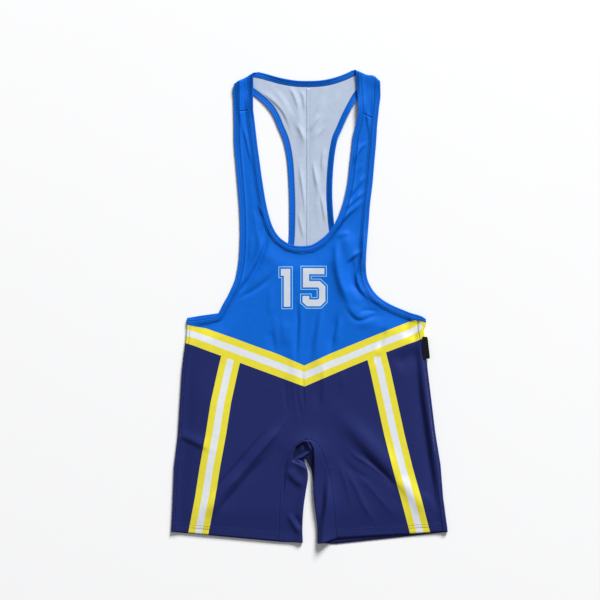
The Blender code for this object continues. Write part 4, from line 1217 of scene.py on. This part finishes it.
def back_print_places(points, side):
    """The print of the back goes on over the side fold, as far as the seam on the front."""
    tangent = side_tangent(side, points[:, 1])
    out = side * points[:, 0]
    folded = 2.0 * tangent + math.pi * FOLD_RADIUS - out
    return np.column_stack((side * np.minimum(out, folded), points[:, 1]))


def make_back(side, name):
    rows = back_rows(side)
    inner, outer = back_edges(side, rows)
    inner[:, 0] += np.where(rows > BACK_NECK_ROW - ROW_ERROR, side * SEAM_GAP / 2, 0.0)
    outer = outer - unit(outer - inner) * (rows >= BACK_ARMHOLE_ROW)[:, None] * SEAM_GAP
    at_seam = rows < ROW_ERROR
    out = shoulder_frame(side)[2]
    inner[at_seam] -= out * SEAM_GAP
    outer[at_seam] -= out * SEAM_GAP
    widths = np.linalg.norm(outer - inner, axis=1)
    first = side * inner[:, 0] - side_tangent(side, outer[:, 1])
    last = side * outer[:, 0] - side_tangent(side, outer[:, 1])
    shift = np.minimum(0.0, last - ROLL_MARKS[-1] - ROLL_TAIL)
    marks = (ROLL_MARKS[None] + shift[:, None] - first[:, None]) / (last - first)[:, None]
    near = np.array(EDGE_MARKS)[None] / widths[:, None]
    steps = np.linspace(0.0, 1.0, FLAT_COLUMNS + 1)[None, 1:-1]
    flat = near[:, -1:] + (marks[:, :1] - near[:, -1:]) * steps
    tail = marks[:, -1:] + (1.0 - marks[:, -1:]) * np.linspace(0.0, 1.0, TAIL_COLUMNS + 1)[None, 1:]
    shares = np.concatenate((near, flat, marks, tail), axis=1)
    grid = ruled_grid(inner, outer, shares)
    places, ways = lay(back_surface(side), grid, CLOTH / 2)
    ids = grid_ids(places)
    edge = np.minimum(shares, 1.0 - shares) * widths[:, None]
    points = grid.reshape(-1, 2)
    edge = np.minimum(edge, line_distance(points, inner[0], outer[0]).reshape(edge.shape) + SHOULDER_SEAM)
    half = sewn_edge(edge).ravel()
    from_hem = line_distance(points, inner[-1], outer[-1])
    lower = np.minimum(half + hem_form(from_hem), CLOTH / 2)
    printed = print_places(back_print_places(points, side), side)
    printed.update(cloth_places(points, PATTERN_DEPTH["back"]), from_hem=from_hem)
    faces = quads(ids) if side == RIGHT else quads(ids)[:, ::-1]
    return shell(name, places.reshape(-1, 3), ways.reshape(-1, 3), faces, (half, lower),
                 (INSIDE, PRINTED), printed)


def make_gusset():
    s = np.arange(0.0, len(GUSSET) - 1.0 + GUSSET_STEP / 2, GUSSET_STEP)
    t = np.concatenate((GUSSET_MARKS, np.linspace(GUSSET_MARKS[-1], 1.0, GUSSET_COLUMNS + 1)[1:],
                        np.linspace(1.0, 2.0, FOLD_COLUMNS + 1)[1:-1],
                        np.linspace(2.0, 3.0, UNDER_COLUMNS + 1)))
    grid_s, grid_t = (a.ravel() for a in np.meshgrid(s, t, indexing="ij"))
    places = gusset_place(grid_s, grid_t)
    nudge = 0.02
    along = gusset_place(grid_s + nudge, grid_t) - gusset_place(grid_s - nudge, grid_t)
    across = gusset_place(grid_s, np.minimum(grid_t + nudge, 3.0))
    across = across - gusset_place(grid_s, np.maximum(grid_t - nudge, 0.0))
    ways = unit(np.cross(along, across))
    row = spline(np.array(GUSSET), grid_s)
    reach = np.linalg.norm(row[:, 2:4] - row[:, 0:2], axis=1)
    from_seam = np.where(grid_t <= 1.0, grid_t, np.where(grid_t >= 2.0, 3.0 - grid_t, 1.0)) * reach
    half = sewn_edge(from_seam)
    from_hem = np.minimum(grid_s, len(GUSSET) - 1.0 - grid_s) * np.abs(GUSSET[0][1] - GUSSET[1][1])
    rise = hem_form(from_hem)
    ids = np.arange(len(places)).reshape(len(s), len(t))
    # painted shade deep in the hollow, left off its ridges and off the cloth past the fold
    sunk, ridge = hollow(places[:, 0:2])
    lit = np.clip(ridge / HOLLOW_LIT, 0.0, 1.0)
    pattern = np.column_stack((grid_t, grid_s)) * GUSSET_PATTERN
    fields = {**cloth_places(pattern, PATTERN_DEPTH["gusset"]), "from_hem": from_hem,
              "painted_shade": HOLLOW_SHADE * sunk * (1.0 - lit) * (grid_t < HOLLOW_TURN)}
    outside = np.where(places[:, 2] < CLOTH, np.minimum(half + rise, CLOTH / 2), half + rise)
    if (ways[np.argmin(np.abs(grid_s - 2.0) + np.abs(grid_t - 0.5))])[2] < 0.0:
        ways = -ways
    return shell("gusset_cloth", places, ways, quads(ids), (outside, half), (NAVY, INSIDE), fields)


# ---------------------------------------------------------------- bindings

def binding_section():
    """Section of a folded binding: shares of its width and heights in half thicknesses, all round."""
    top = np.array(BINDING_MARKS)
    end = np.minimum(top, 1.0 - top) * BINDING_WIDTH / ROUND_EDGE
    height = np.sqrt(np.clip(1.0 - (1.0 - np.minimum(end, 1.0)) ** 2, 0.0, 1.0))
    for row in BINDING_ROWS:
        height = height - groove((top - row) * BINDING_WIDTH) / (BINDING / 2)
    under = np.where(top < LIP_REACH, np.maximum(height, LIP_HEIGHTS[1]), height)[1:]
    share = np.concatenate((top[:1], (-LIP_REACH, -LIP_REACH), top[1:], top[-2:0:-1]))
    return share, np.concatenate((height[:1], LIP_HEIGHTS, under, -height[-2:0:-1]))


def strip_grid(ribs, share):
    """Mid-surface places and ways towards the garment's inside, for each rib and share of its width."""
    places, ways = [], []
    for (surface, face), run in groupby(ribs, key=lambda rib: (rib[0], rib[3])):
        starts, ends = (np.array(edge) for edge in list(zip(*run))[1:3])
        grid = ruled_grid(starts, ends, np.tile(share, (len(starts), 1)))
        spots, out = lay(surface, grid, BINDING / 2)
        places.append(spots)
        ways.append(out * face)
    return np.concatenate(places), np.concatenate(ways)


def strip(name, ribs, material):
    """Closed loop of binding; each rib is (surface, start, end, side of the cloth)."""
    share, height = binding_section()
    places, ways = strip_grid(ribs, share)
    rings = places + ways * height[None, :, None] * BINDING / 2
    steps = np.linalg.norm(np.diff(places[:, 0], axis=0), axis=1)
    along = np.concatenate(((0.0,), np.cumsum(steps)))
    ids = np.arange(len(rings) * len(share)).reshape(len(rings), len(share))
    faces = quads(np.pad(ids, ((0, 1), (0, 1)), mode="wrap")).tolist()
    flat = np.column_stack((np.tile(share * BINDING_WIDTH, len(rings)), np.repeat(along, len(share))))
    # painted shade along the binding's sewn edge
    fields = {**cloth_places(flat, PATTERN_DEPTH["binding"]), "painted_shade": seam_shade(flat[:, 0])}
    return solid(name, rings.reshape(-1, 3), faces, [0] * len(faces), (material,), fields)


def armhole_ribs(side):
    rows = front_rows()
    edge = front_edges(side, rows[rows <= ARMHOLE_ROW + ROW_STEP / 2])[1]
    ribs = edge_ribs(front_surface, edge, edge_outward(edge, side), -1, [])
    rows = back_rows(side)
    rows = rows[rows <= BACK_ARMHOLE_ROW][::-1]
    edge = back_edges(side, rows)[1]
    folds = [shoulder_fold_of(side, edge), side_fold_of(side, edge)]
    back = edge_ribs(back_surface(side), edge, edge_outward(edge, -side), 1, folds)
    return ribs + back[1:-1]


def neck_ribs():
    ribs = []
    for side in SIDES:
        rows = front_rows()
        edge = front_edges(side, rows[rows <= NECK_ROW + ROW_STEP / 2])[0]
        half = edge_ribs(front_surface, edge, edge_outward(edge, -side), -1, [])
        ribs += half if side == RIGHT else half[-2::-1]
    for side in (LEFT, RIGHT):
        rows = back_rows(side)
        edge = back_edges(side, rows[rows <= BACK_NECK_ROW])[0]
        folds = [shoulder_fold_of(side, edge)]
        half = edge_ribs(back_surface(side), edge, edge_outward(edge, -side), 1, folds)
        ribs += half[1:] if side == LEFT else half[-2:0:-1]
    return ribs


# ---------------------------------------------------------------- stitches

def strip_runs(ribs):
    """Rows of stitches round a binding, on both of its faces."""
    places, ways = strip_grid(ribs, np.array(BINDING_ROWS))
    lift = BINDING / 2 - GROOVE
    return [(places[:, k] + ways[:, k] * face * lift, ways[:, k] * face, True)
            for k in range(len(BINDING_ROWS)) for face in (1, -1)]


def stitches(points, ways, closed=False):
    """Beads of thread along a line: one mesh's points and faces."""
    if closed:
        points, ways = np.vstack((points, points[:1])), np.vstack((ways, ways[:1]))
    along = np.concatenate(((0.0,), np.cumsum(np.linalg.norm(np.diff(points, axis=0), axis=1))))
    middles = np.arange(STITCH_PITCH / 2, along[-1] - STITCH_PITCH / 2, STITCH_PITCH)

    def at(values, where):
        return np.column_stack([np.interp(where, along, values[:, k]) for k in range(3)])

    start, end = at(points, middles - STITCH_LENGTH / 2), at(points, middles + STITCH_LENGTH / 2)
    up = unit(at(ways, middles))
    side = unit(np.cross(end - start, up))
    rings = [start]
    for share in BEAD_RINGS:
        centre = start + (end - start) * share
        for dx, dz in BEAD_SECTION:
            rings.append(centre + side * dx * STITCH_WIDTH + up * dz * STITCH_HEIGHT)
    rings.append(end)
    shape = np.stack(rings, axis=1)
    count, size = shape.shape[:2]
    around = len(BEAD_SECTION)
    faces = []
    for i in range(around):
        near, near_next = 1 + i, 1 + (i + 1) % around
        far, far_next = near + around, near_next + around
        faces += [(0, near_next, near), (near, near_next, far_next, far), (size - 1, far, far_next)]
    return shape.reshape(-1, 3), [tuple(k + size * n for k in face) for n in range(count) for face in faces]


def thread(name, runs, material):
    """One object for several runs of stitches; each run is (points, ways, closed)."""
    points, faces, total = [], [], 0
    for run in runs:
        spots, more = stitches(*run)
        points.append(spots)
        faces += [tuple(k + total for k in face) for face in more]
        total += len(spots)
    return solid(name, np.concatenate(points), faces, [0] * len(faces), (material,), {})


def upright(count):
    return np.tile((0.0, 0.0, 1.0), (count, 1))


def surface_line(surface, points, half, lift):
    ways = normals(surface, points, half)
    return surface(points, half) + ways * lift, ways


def front_hem_runs():
    runs = []
    for side in SIDES:
        last = float(front_rows()[-1])
        inner, outer = front_edges(side, np.array((last - HEM_LOOK, last)))
        for depth in HEM_ROWS:
            start = inner[1] + unit(inner[0] - inner[1]) * depth
            end = outer[1] + unit(outer[0] - outer[1]) * depth
            line = start + (end - start) * np.linspace(*HEM_SPAN, HEM_PLACES)[:, None]
            runs.append((*surface_line(front_surface, line, CLOTH / 2, HEM_LIFT), False))
    return runs


def gusset_hem_runs():
    runs = []
    spacing = abs(GUSSET[0][1] - GUSSET[1][1])
    for depth in HEM_ROWS:
        for s in (depth / spacing, len(GUSSET) - 1.0 - depth / spacing):
            t = np.linspace(*GUSSET_SPAN, GUSSET_HEM_PLACES)
            places = gusset_place(np.full(len(t), s), t)
            ways = upright(len(t))
            runs.append((places + ways * HEM_LIFT, ways, False))
    return runs


def seam_runs():
    """Rows of stitches beside the crotch seam, on the front panel's cloth."""
    runs = []
    rows = front_rows()
    leg = rows[rows >= LEG_TOP - ROW_ERROR]
    for side in SIDES:
        inner = front_edges(side, leg)[0]
        line = inner + edge_outward(inner, side) * CROTCH_ROW
        runs.append((*surface_line(front_surface, line, CLOTH / 2, SHELL - SUNK_THREAD), False))
    return runs


# ---------------------------------------------------------------- print on the chest

def offset_corners(corners, distance):
    """Corners of a closed outline, moved outwards by a distance with mitred corners."""
    points = np.array(corners, float)
    before, after = points - np.roll(points, 1, axis=0), np.roll(points, -1, axis=0) - points
    out_a = np.column_stack((before[:, 1], -before[:, 0])) / np.linalg.norm(before, axis=1)[:, None]
    out_b = np.column_stack((after[:, 1], -after[:, 0])) / np.linalg.norm(after, axis=1)[:, None]
    bisector = out_a + out_b
    return points + bisector * (distance * 2.0 / (bisector ** 2).sum(1))[:, None]


def film(name, flat, faces, material):
    places, ways = lay(front_surface, flat[:, None], CLOTH / 2)
    points = places[:, 0] + ways[:, 0] * (SHELL + FILM)
    return solid(name, points, faces, [0] * len(faces), (material,), cloth_places(flat))


def make_figure(name, corners):
    corners = np.array(corners, float)
    edge = []
    for a, b in zip(corners, np.roll(corners, -1, axis=0)):
        count = max(1, int(np.linalg.norm(b - a) / FILM_CELL))
        edge += [a + (b - a) * k / count for k in range(count)]
    low, high = corners.min(0) + FILM_CELL / 2, corners.max(0)
    inside = [(x, y) for x in np.arange(low[0], high[0], FILM_CELL)
              for y in np.arange(low[1], high[1], FILM_CELL) if within(corners, x, y)]
    loop = list(range(len(edge)))
    edges = list(zip(loop, loop[1:] + loop[:1]))
    points, _, faces, *_ = delaunay_2d_cdt([tuple(p) for p in edge + inside], edges, [], 1, FILM_WELD)
    flat = np.array([(p[0], p[1]) for p in points])
    return film("figure_" + name, flat, faces, FIGURE_PRINT)


def within(corners, x, y):
    hits = False
    for (x0, y0), (x1, y1) in zip(corners, np.roll(corners, -1, axis=0)):
        if (y0 > y) != (y1 > y) and x < (x1 - x0) * (y - y0) / (y1 - y0) + x0:
            hits = not hits
    return hits


def make_figure_outline(name, corners):
    near, far = offset_corners(corners, OUTLINE_NEAR), offset_corners(corners, OUTLINE_FAR)
    flat, count = [], 0
    for k in range(len(near)):
        j = (k + 1) % len(near)
        steps = max(1, int(np.linalg.norm(near[j] - near[k]) / FILM_CELL))
        for i in range(steps):
            share = i / steps
            flat += [near[k] + (near[j] - near[k]) * share, far[k] + (far[j] - far[k]) * share]
            count += 1
    faces = [(2 * i, 2 * i + 1, 2 * ((i + 1) % count) + 1, 2 * ((i + 1) % count)) for i in range(count)]
    return film("figure_" + name + "_outline", np.array(flat), faces, OUTLINE_PRINT)


# ---------------------------------------------------------------- label and seam allowance

def thinned_half(thickness, shares, least, gain):
    """Half the thickness of a flat strip, thinner at its edges; the shares are places across it."""
    edge = np.minimum(shares, 1.0 - shares).ravel()
    return thickness / 2 * (least + (1.0 - least) * smooth_step(edge * gain))


def label_surface(points, half):
    tangent = side_tangent(LEFT, points[:, 1])
    on_cloth = np.column_stack((np.minimum(points[:, 0], tangent), points[:, 1]))
    past = np.maximum(points[:, 0] - tangent, 0.0)
    lift = CLOTH + 2.0 * SEAM_GAP
    return np.column_stack((points, underside(on_cloth) + lift + half - LABEL_DROOP * past ** 2))


def make_label():
    share = np.linspace(0.0, 1.0, LABEL_ROWS)
    ys = LABEL_TOP + (LABEL_FOOT - LABEL_TOP) * np.unique(np.concatenate((
        share, share[:3] + LABEL_NEAR, share[-3:] - LABEL_NEAR)))
    from_end = np.minimum(LABEL_TOP - ys, ys - LABEL_FOOT)
    cut = np.clip(1.0 - from_end / LABEL_CORNER, 0.0, 1.0)
    tip = np.interp(-ys, (-LABEL_TOP, -LABEL_FOOT), LABEL_TIP_X)
    tip = tip - LABEL_CORNER * (1.0 - np.sqrt(1.0 - cut ** 2))
    root = np.maximum(lookup(SIDE[LEFT], ys, 2) + LABEL_SEAM, LABEL_ROOT_X)
    shares = np.tile(np.linspace(0.0, 1.0, LABEL_COLUMNS), (len(ys), 1))
    grid = ruled_grid(np.column_stack((root, ys)), np.column_stack((tip, ys)), shares)
    places, ways = lay(label_surface, grid, LABEL / 2)
    ids = grid_ids(places)
    flat = grid.reshape(-1, 2)
    half = thinned_half(LABEL, shares, *LABEL_EDGE)
    return shell("label_cloth", places.reshape(-1, 3), ways.reshape(-1, 3), quads(ids), (half, half),
                 (LABEL_TAPE, LABEL_TAPE), cloth_places(flat, PATTERN_DEPTH["label"]))


def allowance_runs():
    """Overlock threads along both edges of the centre-back seam allowance."""
    ys = np.linspace(*ALLOWANCE_ENDS, ALLOWANCE_PLACES)
    runs = []
    for offset in (SEAM_ALLOWANCE[0] + OVERLOCK, SEAM_ALLOWANCE[1] - OVERLOCK):
        points = np.column_stack((lookup(BACK_CENTRE, ys, 1) + offset, ys))
        height = CLOTH + ALLOWANCE_THICKNESS + back_form(points)
        runs.append((np.column_stack((points, height)), upright(len(ys)), False))
    return runs


def make_allowance():
    """Overlocked edges of the centre-back seam, pressed flat inside the racerback."""
    ys = np.linspace(*ALLOWANCE_ENDS, ALLOWANCE_PLACES)
    centre = lookup(BACK_CENTRE, ys, 1)
    wave = sum(height * np.sin(ys * turn + start) for height, turn, start in ALLOWANCE_WAVES)
    left = np.column_stack((centre + SEAM_ALLOWANCE[0] + wave, ys))
    right = np.column_stack((centre + SEAM_ALLOWANCE[1] + wave, ys))
    shares = np.tile(np.linspace(0.0, 1.0, ALLOWANCE_COLUMNS), (len(ys), 1))
    grid = ruled_grid(left, right, shares)
    lift = CLOTH + ALLOWANCE_GAP

    def surface(points, half):
        return np.column_stack((points, lift + half + back_form(points)))

    places, ways = lay(surface, grid, ALLOWANCE_THICKNESS / 2)
    half = thinned_half(ALLOWANCE_THICKNESS, shares, *ALLOWANCE_EDGE)
    flat = grid.reshape(-1, 2)
    fields = {**cloth_places(flat, PATTERN_DEPTH["allowance"]), "from_hem": np.full(len(flat), FAR)}
    return shell("centre_seam_allowance", places.reshape(-1, 3), ways.reshape(-1, 3),
                 quads(grid_ids(places)), (half, half), (INSIDE, INSIDE), fields)


# ---------------------------------------------------------------- materials

# noise: scale, detail, lowest and highest value; the scale is per millimetre of cloth, or per metre
# on the floor and in a thread
MOTTLE = (0.11, 3.0, 0.93, 1.07)
GRAIN = (1.9, 2.0, 0.95, 1.05)
CLOTH_ROUGHNESS = (0.35, 2.0, 0.5, 0.66)
FLOOR_MOTTLE = (3.0, 2.0, 0.99, 1.0)
WAVINESS = (0.06, 3.0)
PLY, PLY_SHADE, PLY_ROUGHNESS = 900.0, (0.8, 1.15), (0.4, 0.6)
WALE_SHARE = 0.6         # of the knit's height, the rest is the courses
PRINT_BLEED = 0.15       # half width of the change from one printed colour to the next
COLOUR_SOCKETS = (6, 7)  # of a mix node that mixes colours


class Tree:
    """Small helper for a material's nodes."""

    def __init__(self, name, roughness=0.6, sheen=0.02, specular=0.15):
        self.material = bpy.data.materials.new(name)
        self.material.use_nodes = True
        self.nodes, self.links = self.material.node_tree.nodes, self.material.node_tree.links
        self.shader = self.nodes["Principled BSDF"]
        self.shader.inputs["Roughness"].default_value = roughness
        self.shader.inputs["Specular IOR Level"].default_value = specular
        self.shader.inputs["Sheen Weight"].default_value = sheen
        self.shader.inputs["Sheen Roughness"].default_value = 0.45

    def node(self, kind, **inputs):
        made = self.nodes.new(kind)
        for key, value in inputs.items():
            self.plug(made.inputs[int(key[1:])] if key[0] == "_" else made.inputs[key], value)
        return made

    def plug(self, socket, value):
        if isinstance(value, bpy.types.NodeSocket):
            self.links.new(value, socket)
        elif socket.type == "VECTOR":
            socket.default_value = value[:3]
        else:
            socket.default_value = value

    def math(self, operation, a, b=0.0):
        made = self.nodes.new("ShaderNodeMath")
        made.operation = operation
        self.plug(made.inputs[0], a)
        self.plug(made.inputs[1], b)
        return made.outputs[0]

    def field(self, name, output="Vector"):
        made = self.nodes.new("ShaderNodeAttribute")
        made.attribute_name = name
        return made.outputs[output]

    def times(self, a, b):
        return self.math("MULTIPLY", a, b)

    def wave(self, value, pitch):
        return self.math("SINE", self.times(value, 2.0 * math.pi / pitch))

    def tint(self, colour, shade):
        """The shader's base colour: a colour times a shade."""
        made = self.node("ShaderNodeVectorMath", _0=colour)
        made.operation = "SCALE"
        self.plug(made.inputs["Scale"], shade)
        self.plug(self.shader.inputs["Base Color"], made.outputs[0])

    def axes(self, vector):
        return self.node("ShaderNodeSeparateXYZ", _0=vector).outputs

    def mix(self, factor, a, b, blend="MIX"):
        made = self.nodes.new("ShaderNodeMix")
        made.data_type, made.blend_type = "RGBA", blend
        for socket, value in zip((0, *COLOUR_SOCKETS), (factor, a, b)):
            self.plug(made.inputs[socket], value)
        return made.outputs[2]

    def noise(self, vector, scale, detail=2.0):
        return self.node("ShaderNodeTexNoise", Vector=vector, Scale=scale, Detail=detail).outputs[0]

    def varied(self, place, scale, detail, low, high):
        """A number that varies from place to place between low and high."""
        return self.ramp(self.noise(place, scale, detail), low, high)

    def ramp(self, value, low, high):
        made = self.node("ShaderNodeMapRange", _0=value)
        made.inputs["To Min"].default_value = low
        made.inputs["To Max"].default_value = high
        return made.outputs[0]


def knit_height(tree, cloth, wale, course):
    """Fine knit: wales along the cloth, crossed by courses."""
    x, y, _ = tree.axes(cloth)
    return tree.math("ADD", tree.times(tree.wave(x, wale), WALE_SHARE),
                     tree.times(tree.wave(y, course), 1.0 - WALE_SHARE))


def finish_cloth(tree, colour, wale=0.9, course=0.7, depth=0.05, wave=0.25):
    """Mottled colour darkened by the painted shade of its points, knit and slight waviness, from the cloth's
    own places in millimetres.
    """
    cloth = tree.field("cloth")
    shade = tree.times(tree.varied(cloth, *MOTTLE), tree.varied(cloth, *GRAIN))
    # painted shade: the colour is darkened where the points carry shade painted into seams and the hollow
    lit = tree.math("SUBTRACT", 1.0, tree.field("painted_shade", "Fac"))
    tree.tint(colour, tree.times(shade, lit))
    tree.plug(tree.shader.inputs["Roughness"], tree.varied(cloth, *CLOTH_ROUGHNESS))
    knit = tree.node("ShaderNodeBump", Height=knit_height(tree, cloth, wale, course), Strength=0.5,
                     Distance=depth * MM)
    soft = tree.node("ShaderNodeBump", Height=tree.noise(cloth, *WAVINESS), Strength=1.0,
                     Distance=wave * MM, Normal=knit.outputs[0])
    tree.plug(tree.shader.inputs["Normal"], soft.outputs[0])
    return tree.material


def above(tree, value, edge):
    """0 below the edge and 1 above it."""
    made = tree.node("ShaderNodeMapRange", _0=value)
    made.inputs["From Min"].default_value = edge - PRINT_BLEED
    made.inputs["From Max"].default_value = edge + PRINT_BLEED
    return made.outputs[0]


def between(tree, value, low, high):
    return tree.times(above(tree, value, low), tree.math("SUBTRACT", 1.0, above(tree, value, high)))


def printed_colour(tree):
    d0, d1, d2 = tree.axes(tree.field("chevron"))[:3]
    d3, into, below = tree.axes(tree.field("stripe"))[:3]
    width = 2.0 * STRIPE_YELLOW + STRIPE_WHITE
    in_stripe = between(tree, into, 0.0, width)
    in_white = between(tree, into, STRIPE_YELLOW, STRIPE_YELLOW + STRIPE_WHITE)
    in_white = tree.times(in_white, above(tree, below, 0.0))
    shorts = tree.mix(in_stripe, NAVY_DYE, YELLOW_DYE)
    shorts = tree.mix(in_white, shorts, WHITE_DYE)
    colour = BLUE_DYE
    for depth, next_colour in ((d0, YELLOW_DYE), (d1, WHITE_DYE), (d2, YELLOW_DYE), (d3, shorts)):
        colour = tree.mix(above(tree, depth, 0.0), colour, next_colour)
    return colour


def printed_cloth():
    tree = Tree("printed_knit")
    return finish_cloth(tree, printed_colour(tree))


def plain_cloth(name, dye, **options):
    return finish_cloth(Tree(name), dye, **options)


def inside_cloth():
    """Pale inside of the cloth, and its printed outside on the turned-up hem."""
    tree = Tree("inside_knit", sheen=0.1)
    past = above(tree, tree.field("from_hem", "Fac"), HEM_DEPTH)
    return finish_cloth(tree, tree.mix(past, NAVY_DYE, INSIDE_DYE))


def binding_cloth():
    """Folded knit strip: fine ribs across, and small puckers along its rows of stitches."""
    tree = Tree("binding_knit")
    cloth = tree.field("cloth")
    x, y, _ = tree.axes(cloth)
    near = []
    for row in BINDING_ROWS:
        away = tree.math("ABSOLUTE", tree.math("SUBTRACT", x, row * BINDING_WIDTH))
        share = tree.math("MINIMUM", tree.math("DIVIDE", away, PUCKER_REACH), 1.0)
        near.append(tree.math("SUBTRACT", 1.0, share))
    pull = tree.times(tree.wave(y, STITCH_PITCH), tree.math("ADD", *near))
    finish_cloth(tree, BLUE_DYE, wale=0.8, course=0.6)
    soft = tree.shader.inputs["Normal"].links[0].from_socket
    drawn = tree.node("ShaderNodeBump", Height=pull, Strength=0.7, Distance=0.12 * MM, Normal=soft)
    tree.plug(tree.shader.inputs["Normal"], drawn.outputs[0])
    return tree.material


def thread_material(name, dye):
    tree = Tree(name, sheen=0.0, specular=0.0)
    place = tree.nodes.new("ShaderNodeTexCoord").outputs["Object"]
    ply = tree.noise(place, PLY)
    tree.tint(dye, tree.ramp(ply, *PLY_SHADE))
    tree.plug(tree.shader.inputs["Roughness"], tree.ramp(ply, *PLY_ROUGHNESS))
    return tree.material


def print_material(name, dye):
    """Heat-pressed print: smoother than the knit below, which still shows through it."""
    tree = Tree(name, sheen=0.0, specular=0.4)
    return finish_cloth(tree, dye, depth=0.03)


def backdrop_material():
    tree = Tree("backdrop", roughness=0.9, sheen=0.0, specular=0.1)
    place = tree.nodes.new("ShaderNodeTexCoord").outputs["Object"]
    tree.tint(FLOOR_DYE, tree.varied(place, *FLOOR_MOTTLE))
    return tree.material


# ---------------------------------------------------------------- stage

def make_stage():
    mesh = bpy.data.meshes.new("backdrop")
    corners = ((-1, -1), (1, -1), (1, 1), (-1, 1))
    mesh.from_pydata([(FLOOR_REACH * x, FLOOR_REACH * y, FLOOR_Z) for x, y in corners], [], [(0, 1, 2, 3)])
    mesh.materials.append(backdrop_material())
    add_object("backdrop", mesh)


def make_light():
    """One soft light from beyond the shoulders, a little to the picture's right, towards the middle."""
    light = bpy.data.lights.new("key", "AREA")
    light.shape, light.size, light.energy = "DISK", LIGHT_SIZE, LIGHT_POWER
    item = add_object("key", light)
    item.location = LIGHT_PLACE
    item.rotation_euler = (-Vector(LIGHT_PLACE)).to_track_quat("-Z", "Y").to_euler()


def make_camera():
    camera = bpy.data.cameras.new("camera")
    camera.sensor_width = 36.0
    camera.lens = CAMERA_LENS
    item = add_object("camera", camera)
    item.location = (*VIEW_CENTRE, VIEW_WIDTH * CAMERA_LENS / camera.sensor_width)
    bpy.context.scene.camera = item


def make_world():
    world = bpy.data.worlds.new("studio")
    world.use_nodes = True
    world.node_tree.nodes["Background"].inputs[0].default_value = (*SKY_COLOUR, 1.0)
    world.node_tree.nodes["Background"].inputs[1].default_value = SKY_STRENGTH
    bpy.context.scene.world = world
    bpy.context.scene.view_settings.view_transform = "Standard"


VIEW_WIDTH = 1.074       # metres across the picture
VIEW_CENTRE = (-0.0168, 0.0125)
CAMERA_LENS = 85.0
SKY_COLOUR, SKY_STRENGTH = (0.97, 0.98, 1.0), 0.27
LIGHT_PLACE, LIGHT_SIZE, LIGHT_POWER = (8.28, 19.5, 11.28), 9.0, 9300.0   # metres and watts
FLOOR_REACH, FLOOR_Z = 6.0, -0.0004

FLOOR_DYE = (0.955, 0.955, 0.96, 1.0)
BLUE_DYE = (0.0, 0.125, 0.62, 1.0)
NAVY_DYE = (0.0122, 0.0198, 0.118, 1.0)
YELLOW_DYE = (0.79, 0.71, 0.045, 1.0)
WHITE_DYE = (0.74, 0.77, 0.82, 1.0)
FIGURE_DYE = (0.60, 0.66, 0.73, 1.0)
INSIDE_DYE = (0.47, 0.55, 0.69, 1.0)
MINT_DYE = (0.25, 0.62, 0.78, 1.0)
BLACK_DYE = (0.004, 0.0045, 0.007, 1.0)
BLUE_THREAD_DYE = (0.0, 0.06, 0.34, 1.0)
NAVY_THREAD_DYE = (0.035, 0.04, 0.15, 1.0)
PALE_THREAD_DYE = (0.27, 0.40, 0.66, 1.0)

for item in list(bpy.data.objects):
    if item.type in ("LIGHT", "CAMERA"):
        bpy.data.objects.remove(item, do_unlink=True)

ARMHOLE_LINE = {side: back_edge_line(side, 1, BACK_ARMHOLE_ROW) for side in SIDES}
NECK_LINE = {side: back_edge_line(side, 0, BACK_NECK_ROW) for side in SIDES}
FRONT_LINES = {side: front_lines(side) for side in SIDES}
PRINTED = printed_cloth()
INSIDE = inside_cloth()
NAVY = plain_cloth("navy_knit", NAVY_DYE)
BOUND = binding_cloth()
LABEL_TAPE = plain_cloth("label_tape", BLACK_DYE, wale=0.5, course=0.4, depth=0.06, wave=0.05)
FIGURE_PRINT = print_material("figure_print", FIGURE_DYE)
OUTLINE_PRINT = print_material("outline_print", MINT_DYE)
BLUE_THREAD = thread_material("blue_thread", BLUE_THREAD_DYE)
NAVY_THREAD = thread_material("navy_thread", NAVY_THREAD_DYE)
PALE_THREAD = thread_material("pale_thread", PALE_THREAD_DYE)

make_camera()
make_world()
make_stage()
make_light()

front = make_front()
back_right = make_back(RIGHT, "back_right_cloth")
back_left = make_back(LEFT, "back_left_cloth")
gusset = make_gusset()
neck, arm_right, arm_left = neck_ribs(), armhole_ribs(RIGHT), armhole_ribs(LEFT)
neck_strip = strip("neck_binding_cloth", neck, BOUND)
arm_right_strip = strip("armhole_binding_right_cloth", arm_right, BOUND)
arm_left_strip = strip("armhole_binding_left_cloth", arm_left, BOUND)
label = make_label()
allowance = make_allowance()

binding_runs = [run for ribs in (neck, arm_right, arm_left) for run in strip_runs(ribs)]
binding_thread = thread("binding_stitches", binding_runs, BLUE_THREAD)
hem_thread = thread("hem_stitches", front_hem_runs() + gusset_hem_runs(), NAVY_THREAD)
back_thread = thread("centre_back_stitches", allowance_runs(), PALE_THREAD)
seam_thread = thread("crotch_seam_stitches", seam_runs(), NAVY_THREAD)

figures = []
for digit, corners in DIGITS.items():
    figures += [make_figure(digit, corners), make_figure_outline(digit, corners)]

# piece, its CAD node, material slot, cut (width, length) and area in metres, what it lies on, what is on it
SHEETS = (
    (front, "front_panel", "front_cloth", (0.479, 0.771), 0.2155, ["back_right_cloth", "back_left_cloth"],
     figures + [hem_thread, seam_thread]),
    (back_right, "back_right", "back_cloth", (0.258, 0.90), 0.113, ["backdrop"], [allowance, back_thread]),
    (back_left, "back_left", "back_cloth", (0.258, 0.90), 0.113, ["backdrop"], []),
    (gusset, "leg_gusset", "gusset_cloth", (0.085, 0.39), 0.028, ["backdrop"], []),
    (neck_strip, "neck_binding", "binding_cloth", (0.010, 1.10), 0.011, ["back_right_cloth"],
     [binding_thread]),
    (arm_right_strip, "armhole_binding_right", "binding_cloth", (0.010, 1.06), 0.0106, ["backdrop"], []),
    (arm_left_strip, "armhole_binding_left", "binding_cloth", (0.010, 1.06), 0.0106, ["backdrop"], []),
    (label, "side_label", "label_cloth", (0.0135, 0.0395), 0.00053, ["back_left_cloth"], []),
)
for piece, node, slot, cut, area, below, on_it in SHEETS:
    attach(piece, "root")
    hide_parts(node)
for piece in figures + [binding_thread, hem_thread, seam_thread, back_thread, allowance]:
    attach(piece, "root")
